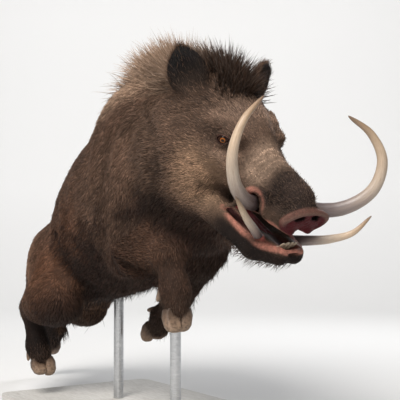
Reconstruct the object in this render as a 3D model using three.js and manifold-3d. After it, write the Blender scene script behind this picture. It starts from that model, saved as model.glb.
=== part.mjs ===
// Wild boar (Sus scrofa), adult male, life size, caught in mid leap and held
// over a flat base by two plain rods. Millimetres, +Z up, the animal faces -Y,
// +X is its left. The origin is the middle of the base's underside.
//
// The flesh is one implicit body (round cones and ellipsoids hung on a
// skeleton), polygonised, thinned, and parted into nodes by 0.3 mm cuts.
import * as THREE from 'three';
import { mergeVertices } from 'three/addons/utils/BufferGeometryUtils.js';
import Module from 'manifold-3d';

const wasm = await Module();
wasm.setup();

// ---------------------------------------------------------------- dimensions
const GAP = 0.3;                       // clearance between neighbouring pieces
const HIP = [0, 500, 472];             // middle of the pelvis
const TRUNK_PITCH = 24;                // degrees, chest up
const SHOULDER_AT = 700;               // pelvis to shoulder joint, along the back
const HEAD_AT = [-45, -487, 760];      // middle of the head, between the eyes
const HEAD_YAW = 3.5, HEAD_PITCH = 31, HEAD_ROLL = -4;
const HEAD_SIZE = 1100;                // head unit: numbers below are fractions of it
const BONES = { femur: 225, tibia: 215, metatarsus: 130, hindDigit: 95,
  humerus: 220, radius: 180, metacarpus: 110, foreDigit: 90 };
// segment angles from straight down, + is forward; ab is outward
const POSE = {
  hindR: { f: 53, t: -79, m: 18, d: 42, ab: 20 },
  hindL: { f: -22, t: -86, m: -46, d: -24, ab: -8 },
  foreR: { h: -30, r: 87, m: 20, d: 8, ab: -5 },
  foreL: { h: -25, r: -36, m: -50, d: -48, ab: -11 },
};
const EYE_R = 15.5;
const TUSK_R = { upper: [19, 18.5, 17, 14.5, 10.5, 4.5], lower: [15, 14, 11.5, 8, 3] };
// tusk centre lines in head units: forward, outward, up
const TUSKS = {
  upperR: [[.149, .057, -.058], [.185, .118, -.026], [.198, .168, .022], [.191, .189, .085], [.174, .171, .146], [.149, .117, .190]],
  upperL: [[.161, .064, -.069], [.212, .138, -.045], [.234, .192, .009], [.221, .207, .076], [.191, .176, .128], [.165, .115, .159]],
  lowerR: [[.178, .030, -.136], [.188, .067, -.100], [.202, .107, -.066], [.216, .146, -.029], [.231, .183, .008]],
  lowerL: [[.176, .066, -.143], [.210, .084, -.124], [.239, .112, -.105], [.260, .152, -.079], [.260, .191, -.038]],
};
const BASE = { x: 560, y: 1150, z: 25, bevel: 6 };
const ROD_R = 16;
const RODS = { front: [0, -95, 560], rear: [10, 270, 500] };   // foot x, foot y, top z
const GRID = 11;                        // polygonising step
const FLESH_TRIANGLES = 2470;

// ---------------------------------------------------------------- vectors
const D2R = Math.PI / 180;
const add = (a, b) => [a[0] + b[0], a[1] + b[1], a[2] + b[2]];
const sub = (a, b) => [a[0] - b[0], a[1] - b[1], a[2] - b[2]];
const mul = (a, k) => [a[0] * k, a[1] * k, a[2] * k];
const dot = (a, b) => a[0] * b[0] + a[1] * b[1] + a[2] * b[2];
const cross = (a, b) => [a[1] * b[2] - a[2] * b[1], a[2] * b[0] - a[0] * b[2], a[0] * b[1] - a[1] * b[0]];
const len = (a) => Math.sqrt(dot(a, a));
const unit = (a) => mul(a, 1 / len(a));
const lerp = (a, b, t) => add(mul(a, 1 - t), mul(b, t));

// ---------------------------------------------------------------- skeleton
const P = TRUNK_PITCH * D2R;
const FW = [0, -Math.cos(P), Math.sin(P)], UP = [0, Math.sin(P), Math.cos(P)], XX = [1, 0, 0];
const T = (a, x, t) => add(HIP, add(mul(FW, a), add(mul(XX, x), mul(UP, t))));
const sag = (L, th, ab, side) => [side * L * Math.sin(ab * D2R),
  -L * Math.sin(th * D2R) * Math.cos(ab * D2R), -L * Math.cos(th * D2R) * Math.cos(ab * D2R)];
const rot = (yaw, pitch, roll) => {
  const m = new THREE.Matrix4().makeRotationZ(yaw * D2R)
    .multiply(new THREE.Matrix4().makeRotationX(pitch * D2R))
    .multiply(new THREE.Matrix4().makeRotationY(roll * D2R)).elements;
  return (v) => [m[0] * v[0] + m[4] * v[1] + m[8] * v[2], m[1] * v[0] + m[5] * v[1] + m[9] * v[2], m[2] * v[0] + m[6] * v[1] + m[10] * v[2]];
};
const RH = rot(HEAD_YAW, HEAD_PITCH, HEAD_ROLL);
const h = (f, x, z) => add(HEAD_AT, RH([x * HEAD_SIZE, -f * HEAD_SIZE, z * HEAD_SIZE]));
const hdir = (f, x, z) => unit(RH([x, -f, z]));
const HEAD_AXES = [hdir(0, 1, 0), hdir(1, 0, 0), hdir(0, 0, 1)];
const TRUNK_AXES = [XX, FW, UP];
const J = {};
for (const [n, s] of [['R', -1], ['L', 1]]) {
  const a = POSE['hind' + n], b = POSE['fore' + n];
  J['hip' + n] = T(0, s * 95, s < 0 ? 0 : 30);
  J['stifle' + n] = add(J['hip' + n], sag(BONES.femur, a.f, a.ab, s));
  J['hock' + n] = add(J['stifle' + n], sag(BONES.tibia, a.t, 0, s));
  J['hindFet' + n] = add(J['hock' + n], sag(BONES.metatarsus, a.m, 0, s));
  J['hindToe' + n] = add(J['hindFet' + n], sag(BONES.hindDigit, a.d, 0, s));
  J['shoulder' + n] = T(SHOULDER_AT, s * 130, -60);
  J['elbow' + n] = add(J['shoulder' + n], sag(BONES.humerus, b.h, b.ab, s));
  J['carpus' + n] = add(J['elbow' + n], sag(BONES.radius, b.r, 0, s));
  J['foreFet' + n] = add(J['carpus' + n], sag(BONES.metacarpus, b.m, 0, s));
  J['foreToe' + n] = add(J['foreFet' + n], sag(BONES.foreDigit, b.d, 0, s));
}

// ---------------------------------------------------------------- distance fields
const cone = (a, b, r1, r2) => {
  const ba = sub(b, a), l2 = dot(ba, ba), rr = r1 - r2, a2 = l2 - rr * rr, il2 = 1 / l2;
  return (p) => {
    const pa = sub(p, a), y = dot(pa, ba), z = y - l2;
    const x = sub(mul(pa, l2), mul(ba, y)), x2 = dot(x, x), y2 = y * y * l2, z2 = z * z * l2;
    const k = Math.sign(rr) * rr * rr * x2;
    if (Math.sign(z) * a2 * z2 > k) return Math.sqrt(x2 + z2) * il2 - r2;
    if (Math.sign(y) * a2 * y2 < k) return Math.sqrt(x2 + y2) * il2 - r1;
    return (Math.sqrt(x2 * a2 * il2) + y * rr) * il2 - r1;
  };
};
const egg = (c, r, axes) => (p) => {
  const d = sub(p, c), q = [dot(d, axes[0]), dot(d, axes[1]), dot(d, axes[2])];
  const k0 = Math.hypot(q[0] / r[0], q[1] / r[1], q[2] / r[2]);
  const k1 = Math.hypot(q[0] / r[0] ** 2, q[1] / r[1] ** 2, q[2] / r[2] ** 2);
  return k1 < 1e-9 ? -Math.min(...r) : k0 * (k0 - 1) / k1;
};
const smin = (a, b, k) => { const t = Math.max(k - Math.abs(a - b), 0) / k; return Math.min(a, b) - t * t * k / 4; };
const smax = (a, b, k) => -smin(-a, -b, k);
const blend = (list) => (p) => {
  let d = list[0][0](p);
  for (let i = 1; i < list.length; i++) d = smin(d, list[i][0](p), list[i][1]);
  return d;
};

const trunk = (a, x, t, ra, rx, rt) => egg(T(a, x, t), [rx, ra, rt], TRUNK_AXES);
const S = HEAD_SIZE;
const hegg = (f, x, z, rf, rx, rz) => egg(h(f, x, z), [rx * S, rf * S, rz * S], HEAD_AXES);
const hcone = (a, b, r1, r2) => cone(h(...a), h(...b), r1 * S, r2 * S);

const trunkField = blend([
  [trunk(-30, 0, 5, 175, 135, 160)], [trunk(200, 0, 0, 280, 195, 187), 100], [trunk(430, 0, 5, 310, 245, 255), 120],
  [trunk(600, 0, 115, 250, 165, 215), 100], [trunk(740, 0, -100, 200, 165, 190), 100],
]);
const neckField = blend([
  [cone(T(700, 0, 20), h(-.13, 0, -.02), 215, 150)],
  [cone(T(600, 0, 165), h(-.15, 0, .045), 135, 85), 80],
  [cone(T(780, 0, -80), h(-.11, 0, -.11), 155, 100), 80],
]);
const foreField = (n, s) => {
  const sh = J['shoulder' + n], el = J['elbow' + n], ca = J['carpus' + n], fe = J['foreFet' + n], to = J['foreToe' + n];
  return blend([
    [egg(T(640, s * 145, 20), [75, 120, 200], TRUNK_AXES)], [cone(sh, el, 105, 85), 70], [cone(T(560, s * 135, -30), el, 85, 74), 70],
    [cone(el, ca, 78, 47), 50], [cone(add(lerp(el, ca, .15), [0, 0, 20]), add(lerp(el, ca, .6), [0, 0, 12]), 64, 50), 40],
    [cone(ca, fe, 45, 37), 30], [cone(fe, lerp(fe, to, .5), 42, 37), 30],
  ]);
};
const hindField = (n, s) => {
  const hi = J['hip' + n], st = J['stifle' + n], ho = J['hock' + n], fe = J['hindFet' + n], to = J['hindToe' + n];
  const w = n === 'R' ? 1 : .8;
  return blend([
    [cone(hi, st, 115 * w, 74 * w)], [cone(T(-110, s * 80, -20), lerp(st, ho, .3), 90 * w, 60 * w), 80], [cone(st, ho, 72 * w, 43), 60],
    [cone(add(lerp(st, ho, .1), [0, 30, 0]), add(lerp(st, ho, .5), [0, 20, 0]), 66 * w, 52 * w), 50],
    [cone(ho, fe, 43, 35), 30], [cone(fe, lerp(fe, to, .5), 40, 36), 30],
  ]);
};
const skull = blend([
  [hegg(-.085, 0, .02, .125, .10, .095)], [hcone([-.11, 0, .065], [.035, 0, .035], .058, .045), 55],
  [hcone([.02, 0, -.035], [.20, 0, -.035], .068, .043), 50], [hcone([.03, 0, .015], [.225, 0, -.008], .034, .027), 40],
  ...[-1, 1].flatMap((s) => [
    [hegg(.145, s * .046, -.045, .052, .034, .034), 30], [hegg(-.08, s * .085, -.05, .10, .058, .105), 50],
    [hcone([-.06, s * .10, .01], [.05, s * .068, -.01], .03, .022), 30],
    [hcone([-.03, s * .080, .062], [.045, s * .058, .048], .020, .015), 28],
    [hegg(-.145, s * .10, -.085, .095, .062, .12), 60]]),
]);
const disc = hegg(.250, 0, -.042, .015, .050, .036);
const jaw = blend([
  ...[-1, 1].flatMap((s, i) => [
    [hcone([-.09, s * .06, -.09], [-.05, s * .058, -.135], .050, .048), 40],
    [hcone([-.05, s * .058, -.135], [.17, s * .036, -.152], .046, .030), 40],
    [hcone([.17, s * .036, -.152], [.236, s * .020, -.138], .030, .023), 20]]),
  [hcone([-.02, 0, -.158], [.205, 0, -.152], .034, .022), 25],
]);
const mouth = blend([
  [hcone([.085, 0, -.112], [.30, 0, -.100], .012, .024)], [hcone([.075, -.05, -.112], [.30, -.05, -.100], .009, .021), 12],
  [hcone([.075, .05, -.112], [.30, .05, -.100], .009, .021), 12],
]);
const tongueField = blend([[hcone([.06, 0, -.128], [.16, 0, -.126], .026, .020)], [hegg(.19, 0, -.121, .035, .024, .010), 12]]);
const EARS = [['R', -1, [-.118, -.083, .075], [-.190, -.112, .170]], ['L', 1, [-.11, .082, .085], [-.150, .125, .155]]];
const ear = ([, s, base, tip], grow = 0) => {
  const a = h(...base), b = h(...tip), u = unit(sub(b, a)), L = len(sub(b, a));
  let n = hdir(.75, s * .65, .1); n = unit(sub(n, mul(u, dot(n, u))));
  const w = cross(u, n), c = lerp(a, b, .42), r = [86 + grow, L * .64 + grow, 28 + grow];
  const A = egg(add(c, mul(w, 32)), r, [w, u, n]), B = egg(add(c, mul(w, -32)), r, [w, u, n]);
  const hollow = egg(add(c, mul(n, 40)), [46, L * .5, 30], [w, u, n]);
  return (p) => smax(smax(A(p), B(p), 8), -hollow(p), 8);
};
const tail = blend([[cone(T(-160, 0, 70), T(-270, 0, -20), 26, 15)], [cone(T(-270, 0, -20), T(-300, 10, -150), 15, 20), 20]]);
const belly = cone(T(120, 0, -145), T(300, 0, -180), 46, 40);

const fores = [foreField('R', -1), foreField('L', 1)], hinds = [hindField('R', -1), hindField('L', 1)];
const ears = EARS.map((e) => ear(e));
const flesh = (p) => {
  let d = smin(trunkField(p), belly(p), 60);
  d = smin(d, neckField(p), 100);
  for (const f of hinds) d = smin(d, f(p), 65);
  for (const f of fores) d = smin(d, f(p), 60);
  d = smin(d, smin(skull(p), jaw(p), 26), 55);
  d = smin(d, disc(p), 16);
  for (const f of ears) d = smin(d, f(p), 22);
  d = smin(d, tail(p), 20);
  return smax(d, -mouth(p), 6);
};
// the mane's crest line with a radius at each point, flattened sideways
const MANE = [[T(160, 0, 175), 12], [T(320, 0, 235), 40], [T(500, 0, 300), 65], [T(650, 0, 315), 75],
  [h(-.175, 0, .152), 62], [h(-.085, 0, .150), 54], [h(-.005, 0, .118), 26]];
const maneCones = MANE.slice(1).map(([b, r], i) => cone(MANE[i][0], b, MANE[i][1], r));
const crestX = (y) => (y > -100 ? 0 : y > -420 ? (y + 100) * 55 / 320 : -55);
const maneField = (p) => {
  const x = crestX(p[1]), q = [x + (p[0] - x) * 1.6, p[1], p[2]];
  return maneCones.map((f) => f(q)).reduce((a, b) => smin(a, b, 35)) / 1.3;
};

// ---------------------------------------------------------------- polygonising
// Marching tetrahedra on the six-tetrahedra split of each cube: always closed.
function polygonise(field, lo, hi, g) {
  const n = [0, 1, 2].map((i) => Math.ceil((hi[i] - lo[i]) / g) + 1), B = 6;
  const val = new Map(), key = (i, j, k) => (i * n[1] + j) * n[2] + k;
  const at = (i, j, k) => {
    const q = key(i, j, k); let v = val.get(q);
    if (v === undefined) { v = field([lo[0] + i * g, lo[1] + j * g, lo[2] + k * g]); if (v === 0) v = 1e-4; val.set(q, v); }
    return v;
  };
  const pos = [], tri = [], edge = new Map(), total = n[0] * n[1] * n[2];
  const vertex = (a, b) => {
    if (a.q > b.q) [a, b] = [b, a];
    const q = a.q * total + b.q; let v = edge.get(q);
    if (v === undefined) {
      const t = Math.min(.94, Math.max(.06, a.v / (a.v - b.v)));
      v = pos.length / 3; edge.set(q, v);
      for (let m = 0; m < 3; m++) pos.push(lo[m] + g * (a.c[m] * (1 - t) + b.c[m] * t));
    }
    return v;
  };
  const TETS = [[0, 1, 3, 7], [0, 3, 2, 7], [0, 2, 6, 7], [0, 6, 4, 7], [0, 4, 5, 7], [0, 5, 1, 7]];
  const emit = (a, b, c, keep) => { if (keep) tri.push(a, b, c); else tri.push(a, c, b); };
  // on which side of a tetrahedron's first three corners its last one lies
  const hand = (v) => { const [p, q, r] = [1, 2, 3].map((i) => sub(v[i].c, v[0].c)); return dot(p, cross(q, r)) > 0; };
  for (let I = 0; I < n[0] - 1; I += B) for (let Jb = 0; Jb < n[1] - 1; Jb += B) for (let K = 0; K < n[2] - 1; K += B) {
    const c = field([lo[0] + (I + B / 2) * g, lo[1] + (Jb + B / 2) * g, lo[2] + (K + B / 2) * g]);
    if (Math.abs(c) > B * g * 1.5) continue;
    for (let i = I; i < Math.min(I + B, n[0] - 1); i++) for (let j = Jb; j < Math.min(Jb + B, n[1] - 1); j++) for (let k = K; k < Math.min(K + B, n[2] - 1); k++) {
      const cs = []; let neg = 0;
      for (let m = 0; m < 8; m++) {
        const x = i + (m & 1), y = j + ((m >> 1) & 1), z = k + ((m >> 2) & 1), v = at(x, y, z);
        if (v < 0) neg++; cs.push({ c: [x, y, z], v, q: key(x, y, z) });
      }
      if (neg === 0 || neg === 8) continue;
      for (const t of TETS) {
        const ins = [], out = [];
        for (const m of t) (cs[m].v < 0 ? ins : out).push(cs[m]);
        if (!ins.length || !out.length) continue;
        const o = hand([...ins, ...out]);
        if (ins.length === 1) emit(vertex(ins[0], out[0]), vertex(ins[0], out[1]), vertex(ins[0], out[2]), o);
        else if (out.length === 1) emit(vertex(ins[0], out[0]), vertex(ins[1], out[0]), vertex(ins[2], out[0]), o);
        else {
          const a = vertex(ins[0], out[0]), b = vertex(ins[0], out[1]), c2 = vertex(ins[1], out[1]), d = vertex(ins[1], out[0]);
          emit(a, b, c2, o); emit(a, c2, d, o);
        }
      }
    }
  }
  return { pos, tri };
}

// ---------------------------------------------------------------- thinning
// Quadric edge collapse; an edge goes only if the surface stays a closed manifold.
function thin({ pos, tri }, target, weight = () => 1) {
  const nv = pos.length / 3, nf = tri.length / 3, Q = new Float64Array(nv * 10), faces = Array.from({ length: nv }, () => new Set());
  const V = (i) => [pos[3 * i], pos[3 * i + 1], pos[3 * i + 2]];
  const alive = new Uint8Array(nf).fill(1), stamp = new Uint32Array(nv), gone = new Uint8Array(nv);
  for (let f = 0; f < nf; f++) {
    const [a, b, c] = [tri[3 * f], tri[3 * f + 1], tri[3 * f + 2]], A = V(a), N0 = cross(sub(V(b), A), sub(V(c), A)), area = len(N0);
    for (const v of [a, b, c]) faces[v].add(f);
    if (area < 1e-9) continue;
    const N = mul(N0, 1 / area), d = -dot(N, A), w = area * weight(A), p = [N[0], N[1], N[2], d];
    let m = 0; const q = [];
    for (let i = 0; i < 4; i++) for (let j = i; j < 4; j++) q[m++] = p[i] * p[j] * w;
    for (const v of [a, b, c]) for (let i = 0; i < 10; i++) Q[v * 10 + i] += q[i];
  }
  const cost = (q, p) => q[0] * p[0] * p[0] + 2 * q[1] * p[0] * p[1] + 2 * q[2] * p[0] * p[2] + 2 * q[3] * p[0] + q[4] * p[1] * p[1]
    + 2 * q[5] * p[1] * p[2] + 2 * q[6] * p[1] + q[7] * p[2] * p[2] + 2 * q[8] * p[2] + q[9];
  const best = (a, b) => {
    const q = []; for (let i = 0; i < 10; i++) q[i] = Q[a * 10 + i] + Q[b * 10 + i];
    const A = V(a), B = V(b), M = lerp(A, B, .5), det = q[0] * (q[4] * q[7] - q[5] * q[5]) - q[1] * (q[1] * q[7] - q[5] * q[2]) + q[2] * (q[1] * q[5] - q[4] * q[2]);
    const tr = q[0] + q[4] + q[7], L = len(sub(A, B)), opts = [M, A, B];
    if (Math.abs(det) > 1e-4 * tr * tr * tr) {
      const r = [-q[3], -q[6], -q[8]], c0 = [q[0], q[1], q[2]], c1 = [q[1], q[4], q[5]], c2 = [q[2], q[5], q[7]];
      const x = [dot(r, cross(c1, c2)) / det, dot(r, cross(c2, c0)) / det, dot(r, cross(c0, c1)) / det];
      if (len(sub(x, M)) < 1.2 * L) opts.unshift(x);
    }
    let o = null, oc = Infinity; for (const p of opts) { const c = cost(q, p); if (c < oc) { oc = c; o = p; } }
    return [Math.max(0, oc) + 1e-3 * L * L, o];
  };
  const heap = [];
  const push = (e) => { let i = heap.push(e) - 1; while (i) { const p = (i - 1) >> 1; if (heap[p].c <= heap[i].c) break; [heap[p], heap[i]] = [heap[i], heap[p]]; i = p; } };
  const pop = () => {
    const top = heap[0], last = heap.pop();
    if (heap.length) { heap[0] = last; let i = 0; for (;;) { let m = i, l = 2 * i + 1, r = l + 1; if (l < heap.length && heap[l].c < heap[m].c) m = l; if (r < heap.length && heap[r].c < heap[m].c) m = r; if (m === i) break; [heap[m], heap[i]] = [heap[i], heap[m]]; i = m; } }
    return top;
  };
  const queue = (a, b) => { const [c, p] = best(a, b); push({ c, p, a, b, sa: stamp[a], sb: stamp[b] }); };
  for (let f = 0; f < nf; f++) for (let m = 0; m < 3; m++) { const a = tri[3 * f + m], b = tri[3 * f + (m + 1) % 3]; if (a < b) queue(a, b); }
  const ring = (v) => { const s = new Set(); for (const f of faces[v]) for (let m = 0; m < 3; m++) if (tri[3 * f + m] !== v) s.add(tri[3 * f + m]); return s; };
  let count = nf;
  while (count > target && heap.length) {
    const e = pop(), { a, b, p } = e;
    if (gone[a] || gone[b] || stamp[a] !== e.sa || stamp[b] !== e.sb) continue;
    const ra = ring(a), rb = ring(b); let common = 0; for (const v of ra) if (rb.has(v)) common++;
    if (common !== 2) continue;
    let ok = true;
    for (const [v, o] of [[a, b], [b, a]]) {
      for (const f of faces[v]) {
        const t = [tri[3 * f], tri[3 * f + 1], tri[3 * f + 2]]; if (t.includes(o)) continue;
        const A = V(t[0]), B = V(t[1]), C = V(t[2]), n0 = cross(sub(B, A), sub(C, A));
        const q = t.map((i) => (i === v ? p : V(i))), n1 = cross(sub(q[1], q[0]), sub(q[2], q[0])), l1 = len(n1);
        const longest = Math.max(len(sub(q[1], q[0])), len(sub(q[2], q[1])), len(sub(q[0], q[2])));
        if (l1 < .06 * longest * longest || dot(n0, n1) < .35 * len(n0) * l1) { ok = false; break; }
      }
      if (!ok) break;
    }
    if (!ok) continue;
    for (const f of [...faces[b]]) {
      const t = [tri[3 * f], tri[3 * f + 1], tri[3 * f + 2]];
      if (t.includes(a)) { alive[f] = 0; count--; for (const v of t) faces[v].delete(f); } else { for (let m = 0; m < 3; m++) if (tri[3 * f + m] === b) tri[3 * f + m] = a; faces[a].add(f); }
    }
    pos[3 * a] = p[0]; pos[3 * a + 1] = p[1]; pos[3 * a + 2] = p[2];
    for (let i = 0; i < 10; i++) Q[a * 10 + i] += Q[b * 10 + i];
    gone[b] = 1; stamp[a]++;
    for (const v of ring(a)) queue(Math.min(a, v), Math.max(a, v));
  }
  const map = new Map(), op = [], ot = [];
  for (let f = 0; f < nf; f++) if (alive[f]) for (let m = 0; m < 3; m++) {
    const v = tri[3 * f + m]; if (!map.has(v)) { map.set(v, op.length / 3); op.push(pos[3 * v], pos[3 * v + 1], pos[3 * v + 2]); }
    ot.push(map.get(v));
  }
  return { pos: op, tri: ot };
}

// ---------------------------------------------------------------- solids
const solid = ({ pos, tri }) => new wasm.Manifold(new wasm.Mesh({ numProp: 3, vertProperties: new Float32Array(pos), triVerts: new Uint32Array(tri) }));
const fromGeometry = (g) => {
  g.deleteAttribute('normal'); g.deleteAttribute('uv');
  const m = mergeVertices(g, 1e-4);
  return { pos: [...m.attributes.position.array], tri: [...m.index.array] };
};
// the same mesh with every vertex moved out along its normal
const grown = ({ pos, tri }, d) => {
  const n = new Float64Array(pos.length);
  for (let f = 0; f < tri.length; f += 3) {
    const v = [0, 1, 2].map((m) => pos.slice(3 * tri[f + m], 3 * tri[f + m] + 3)), N = cross(sub(v[1], v[0]), sub(v[2], v[0]));
    for (let m = 0; m < 3; m++) for (let i = 0; i < 3; i++) n[3 * tri[f + m] + i] += N[i];
  }
  return { pos: pos.map((x, i) => { const b = i - i % 3, L = Math.hypot(n[b], n[b + 1], n[b + 2]); return x + d * n[i] / L; }), tri };
};
// a slab of space with its own axes: centre c, half sizes r along the unit axes
const block = (c, axes, r, grow = 0) => {
  const g = new THREE.BoxGeometry(2 * (r[0] + grow), 2 * (r[1] + grow), 2 * (r[2] + grow));
  const m = new THREE.Matrix4().makeBasis(...axes.map((a) => new THREE.Vector3(...a))).setPosition(...c);
  return solid(outward(fromGeometry(g.applyMatrix4(m))));
};
// a block that starts at point c and reaches r[1] forward along axis u
const limb = (c, u, reach, wide, grow = 0, side = [1, 0, 0]) => {
  const s = unit(sub(side, mul(u, dot(side, u)))), w = cross(s, u);
  return block(add(c, mul(u, reach / 2)), [s, u, w], [wide, reach / 2, wide], grow);
};
// a round bar through a line of points, with a radius at each
const horn = (pts, rad, sides, steps, grow = 0, root = 0) => {
  const P3 = pts.map((p) => new THREE.Vector3(...p));
  if (root) P3.unshift(P3[0].clone().add(P3[0].clone().sub(P3[1]).setLength(root)));
  const curve = new THREE.CatmullRomCurve3(P3, false, 'catmullrom', .5), R = root ? [rad[0] * .96, ...rad] : rad;
  const pos = [], tri = []; let N = new THREE.Vector3(0, 0, 1);
  for (let i = 0; i <= steps; i++) {
    const t = i / steps, c = curve.getPoint(t), d = curve.getTangent(t), x = t * (R.length - 1), k = Math.min(R.length - 2, Math.floor(x));
    const r = R[k] + (R[k + 1] - R[k]) * (x - k) + grow;
    N = N.clone().sub(d.clone().multiplyScalar(N.dot(d))).normalize(); const Bn = d.clone().cross(N);
    for (let s = 0; s < sides; s++) {
      const a = 2 * Math.PI * s / sides, q = c.clone().addScaledVector(N, r * Math.cos(a)).addScaledVector(Bn, r * Math.sin(a));
      pos.push(q.x, q.y, q.z);
    }
    if (i) for (let s = 0; s < sides; s++) {
      const a = (i - 1) * sides + s, b = (i - 1) * sides + (s + 1) % sides, c2 = a + sides, d2 = b + sides;
      tri.push(a, b, d2, a, d2, c2);
    }
  }
  for (const [i, t, flip] of [[0, 0, 1], [steps, 1, 0]]) {
    const c = curve.getPoint(t), d = curve.getTangent(t).multiplyScalar((t ? R[R.length - 1] : -R[0]) * .5 + (t ? grow : -grow)), v = pos.length / 3;
    pos.push(c.x + d.x, c.y + d.y, c.z + d.z);
    for (let s = 0; s < sides; s++) { const a = i * sides + s, b = i * sides + (s + 1) % sides; if (flip) tri.push(v, b, a); else tri.push(v, a, b); }
  }
  return { pos, tri };
};
// a hoof: a blunt wedge with a flat sole, longer at the toe; u points to the toe,
// s across the foot, at = middle of its top
const hoof = (at, u, s, L, W, H, grow = 0) => {
  const w = cross(u, s), pos = [], tri = [], rings = [[-.42, .42, .42], [.10, .50, .50], [.66, .44, .40], [1, .26, .20]], N = 6;
  rings.forEach(([a, rw, rh], i) => {
    for (let k = 0; k < N; k++) {
      const t = 2 * Math.PI * (k + .5) / N, x = Math.cos(t) * (W * rw + grow), z0 = Math.sin(t) * (H * rh + grow);
      const z = Math.max(z0, -(H * .34 + grow)) - (i > 1 ? H * .09 * (i - 1) : 0);
      const q = add(at, add(mul(u, a * L + (i === 0 ? -grow : i === 3 ? grow : 0)), add(mul(s, x), mul(w, z))));
      pos.push(...q);
    }
    if (i) for (let k = 0; k < N; k++) { const a0 = (i - 1) * N + k, b0 = (i - 1) * N + (k + 1) % N; tri.push(a0, a0 + N, b0 + N, a0, b0 + N, b0); }
  });
  for (let k = 1; k < N - 1; k++) { tri.push(0, k, k + 1); const e = (rings.length - 1) * N; tri.push(e, e + k + 1, e + k); }
  return { pos, tri };
};
const dewclaw = (at, u, L, r, grow = 0) => {
  const g = new THREE.ConeGeometry(r + grow, L + 2 * grow, 6), m = new THREE.Matrix4();
  m.makeRotationFromQuaternion(new THREE.Quaternion().setFromUnitVectors(new THREE.Vector3(0, 1, 0), new THREE.Vector3(...u))).setPosition(...at);
  return fromGeometry(g.applyMatrix4(m));
};
const outward = (m) => {           // turn a closed mesh so that its faces point out
  let v = 0;
  for (let f = 0; f < m.tri.length; f += 3) { const [a, b, c] = [0, 1, 2].map((i) => m.pos.slice(3 * m.tri[f + i], 3 * m.tri[f + i] + 3)); v += dot(a, cross(b, c)); }
  if (v > 0) return m;
  const t = []; for (let f = 0; f < m.tri.length; f += 3) t.push(m.tri[f], m.tri[f + 2], m.tri[f + 1]);
  return { pos: m.pos, tri: t };
};

// ---------------------------------------------------------------- the pieces
const COL = { coat: 0x4a3f36, dark: 0x2e2825, mane: 0x3a332d, ivory: 0xd8c9ae, horn: 0x6b5646, skin: 0x8c4b47, eye: 0x6e3f16, stand: 0x3c3c3e, rod: 0x8f9194, tongue: 0xa5605c };
const mat = (c, roughness, metalness = 0) => new THREE.MeshStandardMaterial({ color: c, roughness, metalness });
const MAT = { coat: mat(COL.coat, .9), dark: mat(COL.dark, .9), mane: mat(COL.mane, .9), ivory: mat(COL.ivory, .35), horn: mat(COL.horn, .55),
  skin: mat(COL.skin, .5), tongue: mat(COL.tongue, .4), eye: mat(COL.eye, .08), stand: mat(COL.stand, .6), rod: mat(COL.rod, .35, 1) };

const object = new THREE.Group();
object.name = 'wild_boar';
const keep = (name, m, material) => {
  const parts = m.decompose ? m.decompose() : [m];
  let big = parts[0]; for (const p of parts) if (p.volume() > big.volume()) big = p;   // crumbs a cut leaves are dropped
  const mesh = big.getMesh(), g = new THREE.BufferGeometry();
  g.setAttribute('position', new THREE.BufferAttribute(new Float32Array(mesh.vertProperties), 3));
  g.setIndex([...mesh.triVerts]); g.computeVertexNormals();
  const o = new THREE.Mesh(g, material); o.name = name; object.add(o);
  return mesh.triVerts.length / 3;
};

const headWeight = (p) => { const d = len(sub(p, h(.05, 0, -.03))); return d < 330 ? 7 : d < 450 ? 3 : 1; };
const fleshMesh = thin(polygonise(flesh, [-420, -1010, 20], [420, 1010, 1180], GRID), FLESH_TRIANGLES, headWeight);
const maneMesh = thin(polygonise(maneField, [-170, -720, 560], [150, 480, 1260], 14), 240);
let body = solid(fleshMesh);

const tools = [];                       // what is cut from the flesh afterwards
const pieces = [];
const insert = (name, make, material) => {
  pieces.push([name, solid(outward(make(0))), material]); tools.push(solid(outward(make(GAP))));
};
for (const [n, s, side] of [['R', -1, 'right'], ['L', 1, 'left']]) {
  insert(`tusk_upper_${side}`, (g) => horn(TUSKS['upper' + n].map((p) => h(p[0], s * p[1], p[2])), TUSK_R.upper, 8, 13, g, 34), MAT.ivory);
  insert(`tusk_lower_${side}`, (g) => horn(TUSKS['lower' + n].map((p) => h(p[0], s * p[1], p[2])), TUSK_R.lower, 7, 9, g, 24), MAT.ivory);
  insert(`eye_${side}`, (g) => {
    const e = new THREE.IcosahedronGeometry(EYE_R + g, 1); e.translate(...h(.019, s * .078, .033)); return fromGeometry(e);
  }, MAT.eye);
  for (const [leg, fet, toe, W] of [['fore', J['foreFet' + n], J['foreToe' + n], 1], ['hind', J['hindFet' + n], J['hindToe' + n], .92]]) {
    const u = unit(sub(toe, fet)), w0 = cross([1, 0, 0], u);
    for (const [k, name] of [[-1, 'inner'], [1, 'outer']]) {
      const sd = unit(add([1, 0, 0], mul(u, s * k * .10)));
      const v = unit(add(u, mul([1, 0, 0], s * k * .08)));
      insert(`hoof_${leg}_${side}_${name}`, (g) => hoof(add(lerp(fet, toe, .72), mul([1, 0, 0], s * k * 20 * W)), v, unit(sub(sd, mul(v, dot(sd, v)))), 46 * W, 41 * W, 44 * W, g), MAT.horn);
      const d = unit(add(add(u, mul(w0, .75)), [s * k * .25, 0, 0]));
      insert(`dewclaw_${leg}_${side}_${name}`, (g) => dewclaw(add(add(fet, mul(w0, 38 * W)), add([s * k * 24 * W, 0, 0], mul(u, 8))), d, 46 * W, 12 * W, g), MAT.horn);
    }
  }
}
const tongueAt = h(.12, 0, -.13);
const tongueMesh = thin(polygonise(tongueField, tongueAt.map((v) => v - 150), tongueAt.map((v) => v + 150), 9), 140);
pieces.push(['tongue', solid(grown(tongueMesh, -GAP)), MAT.tongue]);
tools.push(solid(tongueMesh).add(solid(grown(tongueMesh, GAP))));
let cuts = tools[0]; for (const t of tools.slice(1)) cuts = cuts.add(t);
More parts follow.
